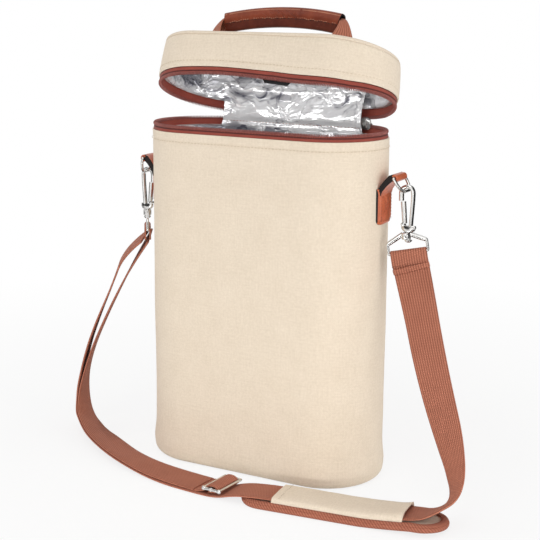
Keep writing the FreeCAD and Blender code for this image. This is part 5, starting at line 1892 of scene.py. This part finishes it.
@dataclass
class StrapEnd:
    """Leather tab, ring, snap hook, gate, strap frame and webbing loop at one end of the bag."""

    finishes: Palette
    repeat: PathRepeat
    side: Side
    ring_tilt: float
    frame_yaw: float
    frame_roll: float
    bag_end: float = 105.0
    bag_radius: float = 47.5
    eye: tuple[float, float] = (118.0, 254.0)
    ring_eye: tuple[float, float] = (118.2, 256.4)
    ring_half: float = 10.6
    ring_depth: float = 14.5
    ring_bow: float = 12.2
    ring_lean: float = 0.78
    ring_wire: float = 1.25
    eye_bore: float = 1.6
    gate_pivot: float = -4.6
    strap_width: float = 29.0
    strap_thick: float = 1.6

    def out(self, points: np.ndarray) -> np.ndarray:
        """Turn points made for the right end to this end."""
        return points * (self.side.value, 1, 1)

    def turned(self, draft: Draft) -> Draft:
        """Turn a draft made for the right end to this end."""
        draft.points = [self.out(block) for block in draft.points]
        return draft

    @property
    def hook_spot(self) -> Vector:
        """Find where the hook hangs on the ring.

        Returns:
            The point in the bag's frame, in millimetres.
        """
        tilt = math.radians(self.ring_tilt)
        return Vector((self.side.value * (self.eye[0] + self.ring_depth * math.sin(tilt)), 0,
                       self.eye[1] - self.ring_depth * math.cos(tilt)))

    def patch_spot(self, y: float, z: float, out: float) -> Point:
        """Find a point of the patch, made for the right end, from its height over the bag's round end."""
        return self.bag_end + out - (self.bag_radius - math.sqrt(self.bag_radius ** 2 - y * y)), y, z

    def patch(self, draft: Draft) -> None:
        """Add the sewn-down patch with rounded corners and crossed creases.

        Args:
            draft: The tab's draft, with the leather and its painted edge.
        """
        low, high, corner = 218.3, 247.0, 4.0
        columns = 61
        rows = []
        foot = low + corner * (1 - np.cos(np.linspace(0, math.pi / 2, 9)))
        for z in np.concatenate([foot, np.linspace(low + corner + 0.5, high, 54)]):
            short = max(0.0, low + corner - z)
            half = 11.6 - corner + math.sqrt(corner ** 2 - short ** 2)
            row = []
            for share in np.sin(np.linspace(-math.pi / 2, math.pi / 2, columns)):
                y = half * share
                brim = min(half - abs(y), (z - low) * 0.8)
                out = 2.3 + 1.9 * (1 - math.exp(-brim / 0.8))
                for tilt in (1, -1):
                    out -= 1.3 * math.exp(-((y * 0.83 - tilt * (z - 232.5) * 0.65) / 1.3) ** 2)
                row.append(self.patch_spot(y, z, out))
            row += [self.patch_spot(half * share, z, 0.2) for share in (1, 0.5, 0, -0.5, -1)]
            rows.append(row)
        start = len(draft.marks)
        draft.skin(np.array(rows), around=True, capped=1)
        width = columns + 5
        for number in range(start, start + width * (len(rows) - 1)):
            if (number - start) % width in (columns - 1, width - 1):
                draft.marks[number] = 1

    def rolled_eye(self, draft: Draft) -> None:
        """Add the rolled leather that the ring turns in.

        Args:
            draft: The tab's draft.
        """
        stations = ((-9.5, 2.75), (-9.4, 3.0), (-4.5, 3.1), (0.0, 3.15), (4.5, 3.1), (9.4, 3.0), (9.5, 2.75))
        bar = np.array([(self.ring_eye[0], y, self.ring_eye[1]) for y, _ in stations])
        sides = 20
        for sizes in ([radius for _, radius in stations], [self.eye_bore] * len(stations)):
            rings = np.array([oval(size, size, 2, sides) for size in sizes])
            draft.skin(ribbed(bar, (1, 0, 0), rings), around=True)
        inner = draft.count - sides * len(stations)
        outer = inner - sides * len(stations)
        for row in (0, len(stations) - 1):
            for number in range(sides):
                near, far = row * sides + number, row * sides + (number + 1) % sides
                draft.face((outer + near, outer + far, inner + far, inner + near))

    def tab(self) -> None:
        """Make the leather tab: patch, folded neck with painted edges, and the ring's rolled eye."""
        draft = Draft(f"{self.side.label}_leather_tab", self.finishes.tab, self.finishes.edge)
        self.patch(draft)
        loop = [(0.2, 242.0), (0.3, 245.5), (1.6, 249.6), (5.0, 254.6), (8.6, 258.4), (11.6, 259.6),
                (14.0, 258.6), (12.0, 254.4), (9.2, 252.0), (6.8, 249.0), (4.9, 245.4), (4.0, 242.0)]
        neck = []
        for share in np.linspace(-1, 1, 9):
            row = []
            for out, z in loop:
                half = 11.0 - 1.6 * min(max((z - 244) / 12, 0), 1)
                spot = self.patch_spot(half * share, z, out)
                hug = min(max((251 - z) / 6, 0), 1)
                row.append((self.bag_end + out + (spot[0] - self.bag_end - out) * hug, half * share, z))
            neck.append(row)
        draft.skin(np.array(neck), around=True, capped=1)
        self.rolled_eye(draft)
        piece = self.turned(draft).build(crease=50)
        attach(piece, "bag", "leather", f"{self.side.label}_tab")
        lines = []
        for ends in (((-8.8, 221.4), (8.8, 221.4)), ((9.4, 222), (9.4, 243)), ((-9.4, 243), (-9.4, 222))):
            row = [self.patch_spot(y, z, 4.1) for y, z in np.linspace(*ends, 16)]
            lines.append((self.out(np.array(row)), np.array([float(self.side.value), 0.0, 0.0])))
        seams = self.repeat.lay(f"{self.side.label}_tab_stitches", lines, self.finishes.dark_thread, 2.4,
                                (1.7, 0.45, 0.3))
        attach(seams, "bag", "leather")

    def ring(self) -> None:
        """Make the D-shaped ring."""
        half, deep = self.ring_half, self.ring_bow
        bow = [(half * 0.2, 0), (half - 0.4, 0), (half + 0.3, 0.0), (half + 0.25, -1.2), (half + 0.1, -5),
               (half * 0.86, -deep * 0.80), (half * 0.5, -deep - 0.5), (0, -deep - 0.3)]
        flat = bow + [(-y, z) for y, z in bow[-2::-1]]
        tilt = math.radians(self.ring_tilt * self.ring_lean)
        points = [(self.ring_eye[0] - z * math.sin(tilt), y, self.ring_eye[1] + z * math.cos(tilt))
                  for y, z in flat]
        line = smooth_line(self.out(np.array(points)).tolist(), 8, closed=True)
        across = (math.cos(tilt) * self.side.value, 0, math.sin(tilt))
        rows = ribbed(line, across, oval(self.ring_wire, self.ring_wire, 2, 14), closed=True)
        draft = Draft(f"{self.side.label}_wire_ring", self.finishes.chrome)
        piece = draft.skin(rows, around=True, along=True).build()
        attach(piece, f"{self.side.label}_ring", "metal", f"{self.side.label}_ring")

    def hook(self) -> None:
        """Make the snap hook's bow, sole and swivel post."""
        path = [(1.6, 0, -28.0), (2.1, 0, -20), (2.8, 0, -10), (3.2, 0, -2), (3.1, 0, 3), (0.8, 0, 6.2),
                (-3.2, 0, 6.4), (-6.6, 0, 4), (-7.0, 0, -0.5), (-6.8, 0, -5.2)]
        line = smooth_line(path, 8)
        widths = smooth_line([(2.2, 1.45, 0)] * 4 + [(2.2, 1.6, 0)] * 3 + [(2.0, 1.9, 0)] * 3, 8)
        sections = np.array([oval(deep, wide, 2.8, 16) for deep, wide, _ in widths])
        draft = Draft(f"{self.side.label}_snap_hook", self.finishes.chrome)
        draft.tube(line, (0, 1, 0), sections)
        levels = ((-24.6, 5.9, 1.7), (-25.6, 6.3, 2.3), (-27.4, 6.1, 2.6), (-29.0, 4.9, 2.8),
                  (-29.6, 3.6, 2.7), (-29.7, 1.75, 1.75), (-36.0, 1.7, 1.7), (-36.05, 2.9, 2.9),
                  (-37.2, 2.85, 2.85), (-38.1, 1.9, 1.9), (-38.25, 0.5, 0.5))
        rows = [np.insert(oval(wide, thick, 2.4, 20), 2, level, axis=1) for level, wide, thick in levels]
        draft.skin(np.array(rows), around=True, capped=0)
        piece = self.turned(draft).build(Matrix.Translation(self.hook_spot), crease=35)
        attach(piece, f"{self.side.label}_hook", "metal", f"{self.side.label}_hook")

    def gate(self) -> None:
        """Make the sprung gate with its knuckle."""
        path = [(-3.4, 0, -23.2), (-3.8, 0, -20), (-4.4, 0, -12), (-5.1, 0, -5.7)]
        line = smooth_line(path, 8)
        widths = 1.75 + 0.2 * np.arange(len(line)) / len(line)
        sections = np.array([oval(1.9, wide, 3.0, 16) for wide in widths])
        draft = Draft(f"{self.side.label}_sprung_gate", self.finishes.chrome)
        draft.tube(line, (0, 1, 0), sections)
        knuckle = np.array([(self.gate_pivot, y, -24) for y in (-2.3, -2.1, 0, 2.1, 2.3)])
        sizes = (1.0, 1.5, 1.6, 1.5, 1.0)
        draft.tube(knuckle, (1, 0, 0), np.array([oval(size, size, 2, 14) for size in sizes]))
        piece = self.turned(draft).build(Matrix.Translation(self.hook_spot), crease=35)
        attach(piece, f"{self.side.label}_gate", "metal", f"{self.side.label}_gate")

    @property
    def frame_place(self) -> Matrix:
        """Place the strap frame.

        Returns:
            The move from its own axes to the bag's, in millimetres.
        """
        hung = Matrix.Translation(self.hook_spot) @ Matrix.Rotation(math.radians(self.frame_yaw), 4, "Z")
        pivot = Matrix.Translation((0, 0, -44))
        return hung @ pivot @ Matrix.Rotation(math.radians(self.frame_roll), 4, "Y") @ pivot.inverted()

    def strap_frame(self) -> None:
        """Make the swivel barrel and the trapezoid frame."""
        half = [(2.2, 0, -31.2), (4.5, 0, -32.4), (13.2, 0, -36.8), (15.4, 0, -37.9), (15.75, 0, -39.6),
                (15.7, 0, -44.0), (15.7, 0, -46.4), (14.4, 0, -46.5), (5, 0, -46.5)]
        path = half + [(-x, y, z) for x, y, z in half[::-1]]
        line = smooth_line(path, 8)
        draft = Draft(f"{self.side.label}_trapezoid_frame", self.finishes.chrome)
        plain = [1.9] * 3 + [1.6] + [1.1] * (len(half) - 4)
        widths = smooth_line([(wide, 0, 0) for wide in plain + plain[::-1]], 8)
        sections = np.array([oval(1.25, wide, 2.8, 14) for wide in widths[:, 0]])
        draft.tube(line, (0, 1, 0), sections)
        levels = ((-30.05, 2.15), (-30.05, 3.2), (-30.4, 3.6), (-31.6, 3.7), (-34.4, 3.7), (-35.2, 3.5),
                  (-35.45, 3.0), (-35.45, 2.15))
        angles = np.arange(24) * TURN / 24
        rows = np.array([[(reach * math.cos(angle), reach * math.sin(angle), level) for angle in angles]
                         for level, reach in levels])
        draft.skin(rows, around=True, along=True)
        piece = draft.build(self.frame_place, crease=35)
        attach(piece, "bag", "metal", f"{self.side.label}_strap_frame")

    def loop(self) -> None:
        """Make the webbing turned over the frame's lower bar."""
        reach = 2.1
        path = [(0, -reach, -55.0), (0, -reach, -51)]
        path += [(0, -reach * math.cos(turn), -46.5 + reach * math.sin(turn))
                 for turn in np.linspace(0, math.pi, 11)]
        path += [(0, reach, -51), (0, reach, -55.0)]
        line = np.array(path)
        if self.side is Side.RIGHT:
            line = np.array([(0.9, -2.6, -60.2), (0.5, -2.4, -57.5)] + path)
        draft = Draft(f"{self.side.label}_webbing_loop", self.finishes.webbing)
        draft.tube(line, (1, 0, 0), band_section(self.strap_width, self.strap_thick))
        if self.side is Side.RIGHT:
            hem = np.array([(0.95, -3.6, -60.8), (0.75, -3.7, -59.2), (0.5, -3.4, -57.0)])
            draft.tube(hem, (1, 0, 0), band_section(self.strap_width + 1, 2.6))
            row = np.array([(x, -3.9, -56.2) for x in np.linspace(-13.6, 13.6, 24)])
            seam = placed([(row, FRONT)], self.frame_place)
            sewn = self.repeat.lay("strap_hem_stitches", seam, self.finishes.dark_thread, 2.6,
                                   (1.9, 0.6, 0.5))
            attach(sewn, "bag", "webbing")
        piece = draft.build(self.frame_place)
        attach(piece, "bag", "webbing", f"{self.side.label}_strap_loop")

    def build(self) -> None:
        """Make every piece of this end."""
        self.tab()
        self.ring()
        self.hook()
        self.gate()
        self.strap_frame()
        self.loop()


@dataclass
class Adjuster:
    """Slide adjuster with the strap's sewn end over its middle bar."""

    finishes: Palette
    spot: Point = (7.0, -86.6, 7.2)
    yaw: float = -4.5
    half: float = 7.8
    side: float = 15.2
    wire: float = 1.2
    roll_width: float = 28.6

    @property
    def place(self) -> Matrix:
        """Move from the adjuster's own axes to the bag's, in millimetres."""
        return Matrix.Translation(self.spot) @ Matrix.Rotation(math.radians(self.yaw), 4, "Z")

    def slide(self) -> None:
        """Make the polished loop with its ball-ended middle bar."""
        half, side = self.half, self.side
        corner = [(half, 0), (half, side * 0.9), (half + 0.1, side), (half * 0.92, side + 0.15), (0, side)]
        quarter = [(x, y, 0) for x, y in corner]
        ring = quarter + [(-x, y, z) for x, y, z in quarter[-2::-1]]
        ring += [(-x, -y, z) for x, y, z in quarter[1:]] + [(x, -y, z) for x, y, z in quarter[-2:0:-1]]
        line = smooth_line(ring, 8, closed=True)
        draft = Draft("slide_loop", self.finishes.chrome)
        near = np.hypot(np.abs(line[:, 0]) - half, line[:, 1] + side)
        sizes = self.wire + 0.6 * np.exp(-(near / 1.8) ** 2)
        sections = np.array([oval(size, size, 2.4, 14) for size in sizes])
        draft.skin(ribbed(line, (0, 0, 1), sections, closed=True), around=True, along=True)
        ball = ((1.6, 0.5), (1.4, 1.3), (0.4, 1.75), (-0.8, 1.5), (-1.6, 1.1))
        stations = [(-side - past, size) for past, size in ball]
        stations += [(side + past, size) for past, size in ball[::-1]]
        bar = np.array([(0, y, 0) for y, _ in stations])
        draft.tube(bar, (1, 0, 0), np.array([oval(size, size, 2, 14) for _, size in stations]))
        piece = draft.build(self.place, crease=35)
        attach(piece, "adjuster", "metal", "slide_adjuster")

    def roll(self) -> None:
        """Make the webbing end that turns over the middle bar."""
        path = [(-20.5, -5.2), (-15.5, -4.5), (-12, -3.7), (-8.5, -2.6), (-6.4, 0.2), (-4.6, 2.1),
                (-1.2, 2.8), (2.4, 2.6), (5.0, 1.0), (5.1, -1.0), (3.0, -2.5), (-1, -2.9), (-4, -2.9)]
        line = smooth_line([(x, 0, z) for x, z in path], 6)
        draft = Draft("webbing_end_roll", self.finishes.webbing)
        piece = draft.tube(line, (0, -1, 0), band_section(self.roll_width, 1.4)).build(self.place)
        attach(piece, "adjuster", "webbing", "strap_end_loop")

    def build(self) -> None:
        """Make the slide and the roll."""
        self.slide()
        self.roll()


@dataclass
class ShoulderPad:
    """Padded strap cushion: core, twill binding and the sleeve that holds the strap."""

    finishes: Palette
    repeat: PathRepeat
    spot: Point = (111.0, -77.0, 0.0)
    yaw: float = 5.9
    length: float = 170.0
    width: float = 42.0
    sleeve_start: float = -54.0
    sleeve_end: float = 53.0
    hem: float = 6.0

    @property
    def place(self) -> Matrix:
        """Move from the pad's own axes to the bag's, in millimetres."""
        return Matrix.Translation(self.spot) @ Matrix.Rotation(math.radians(self.yaw), 4, "Z")

    @property
    def track(self) -> Track:
        """The pad's outline."""
        return Track(self.length, self.width)

    def lifted(self, rows: np.ndarray) -> np.ndarray:
        """Raise the end that the rising strap pulls off the floor.

        Args:
            rows: Points in the pad's own axes.

        Returns:
            The moved points.
        """
        near = np.clip(0.5 - rows[..., 1] / 34, 0, 1)
        moved = rows.copy()
        moved[..., 2] += 3.2 * np.clip((rows[..., 0] - 18) / 42, 0, 1) ** 1.3 * (0.35 + 0.65 * near)
        return moved

    def core(self) -> None:
        """Make the padded core, swollen by cloth pressure."""
        radius = self.width / 2
        profile = [(radius, 1.3), (14, 1.3), (5, 1.3), (2.2, 1.4), (1.3, 2.2), (1.2, 3.2), (2.0, 4.2),
                   (4.0, 4.7)]
        profile += [(inset, 4.9) for inset in np.linspace(6, radius, 8)]
        draft = Draft("pad_cushion", self.finishes.canvas)
        rows = self.lifted(self.track.sweep(np.array(profile), self.track.runs(2.6)))
        piece = draft.skin(rows, around=True).build(self.place)
        kept = [vertex.index for vertex in piece.data.vertices if vertex.co.z < 4.5 * MM]
        ClothPress(cap=0.9).swell(piece, kept)
        attach(piece, "pad", "canvas", "pad_core")

    def binding(self) -> None:
        """Make the twill tape folded over the pad's edge."""
        profile = np.array([(6.4, 5.35), (6.3, 5.9), (5.0, 6.15), (2.6, 6.05), (1.2, 5.5), (0.7, 4.9),
                            (1.05, 4.45), (0.3, 3.9), (0, 3.0), (0.2, 1.7), (0.9, 0.5), (2.4, 0.12),
                            (5.6, 0.1), (6.4, 0.5), (6.0, 1.0), (2.4, 1.05), (1.1, 1.9), (0.9, 3.2),
                            (1.4, 4.5), (2.6, 5.1)])
        draft = Draft("pad_twill_binding", self.finishes.binding)
        rows = self.lifted(self.track.sweep(profile, self.track.runs(2.2)))
        piece = draft.skin(rows, around=True, along=True).build(self.place, crease=60)
        attach(piece, "pad", "binding", "pad_binding")

    def sleeve(self) -> None:
        """Make the canvas sleeve with hemmed ends, open where the strap leaves."""
        rows = []
        for x in np.linspace(self.sleeve_start, self.sleeve_end, 54):
            gape = math.exp((x - self.sleeve_end) / 7.0)
            rise = 10.2 + 0.5 * noise.noise(Vector((x / 18, 0.4, 2.2))) + 2.3 * gape
            outer = [(-17, 6.35), (-16.9, 7.4), (-16.2, 8.8), (-14.5, rise - 0.4), (-9, rise)]
            outer.append((0, rise + 0.1))
            outer += [(-y, z) for y, z in outer[-2::-1]]
            inner = [(16.1, 6.35), (15.9, 7.6), (14.6, 8.9), (9, rise - 0.9), (0, rise - 0.9)]
            inner += [(-y, z) for y, z in inner[-2::-1]]
            rows.append([(x, y, z) for y, z in outer + inner])
        draft = Draft("pad_canvas_sleeve", self.finishes.canvas)
        piece = draft.skin(self.lifted(np.array(rows)), around=True, capped=0).build(self.place, crease=60)
        attach(piece, "pad", "canvas", "pad_sleeve")
        lines = []
        for x in (self.sleeve_start + self.hem, self.sleeve_end - self.hem):
            line = np.array([(x, y, 10.3) for y in np.linspace(-15, 15, 24)])
            lines.append((self.lifted(line), UP))
        seams = self.repeat.lay("sleeve_stitches", placed(lines, self.place), self.finishes.seam, 2.6,
                                (1.8, 0.45, 0.35))
        attach(seams, "pad", "canvas")

    def build(self) -> None:
        """Make every piece of the pad."""
        self.core()
        self.binding()
        self.sleeve()


def write_sizes() -> None:
    """Bring the view layer up to date."""
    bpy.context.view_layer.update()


def main() -> None:
    """Build the scene's parts in order."""
    logging.basicConfig(level=logging.INFO, format="%(message)s")
    studio = Studio()
    studio.camera()
    finishes, repeat = Palette(), PathRepeat()
    ShoulderStrap(finishes).build()
    BagBody(finishes, repeat).build()
    lid = Lid(finishes, repeat)
    lid.build()
    CarryHandle(finishes, repeat, lid).build()
    ZipRunner(finishes).build()
    StrapEnd(finishes, repeat, Side.RIGHT, 42.0, 18.0, -10.0).build()
    StrapEnd(finishes, repeat, Side.LEFT, 14.0, -55.6, 0.0).build()
    Adjuster(finishes).build()
    ShoulderPad(finishes, repeat).build()
    studio.floor()
    studio.dark_panels()
    studio.light()
    write_sizes()


if __name__ == "__main__":
    main()
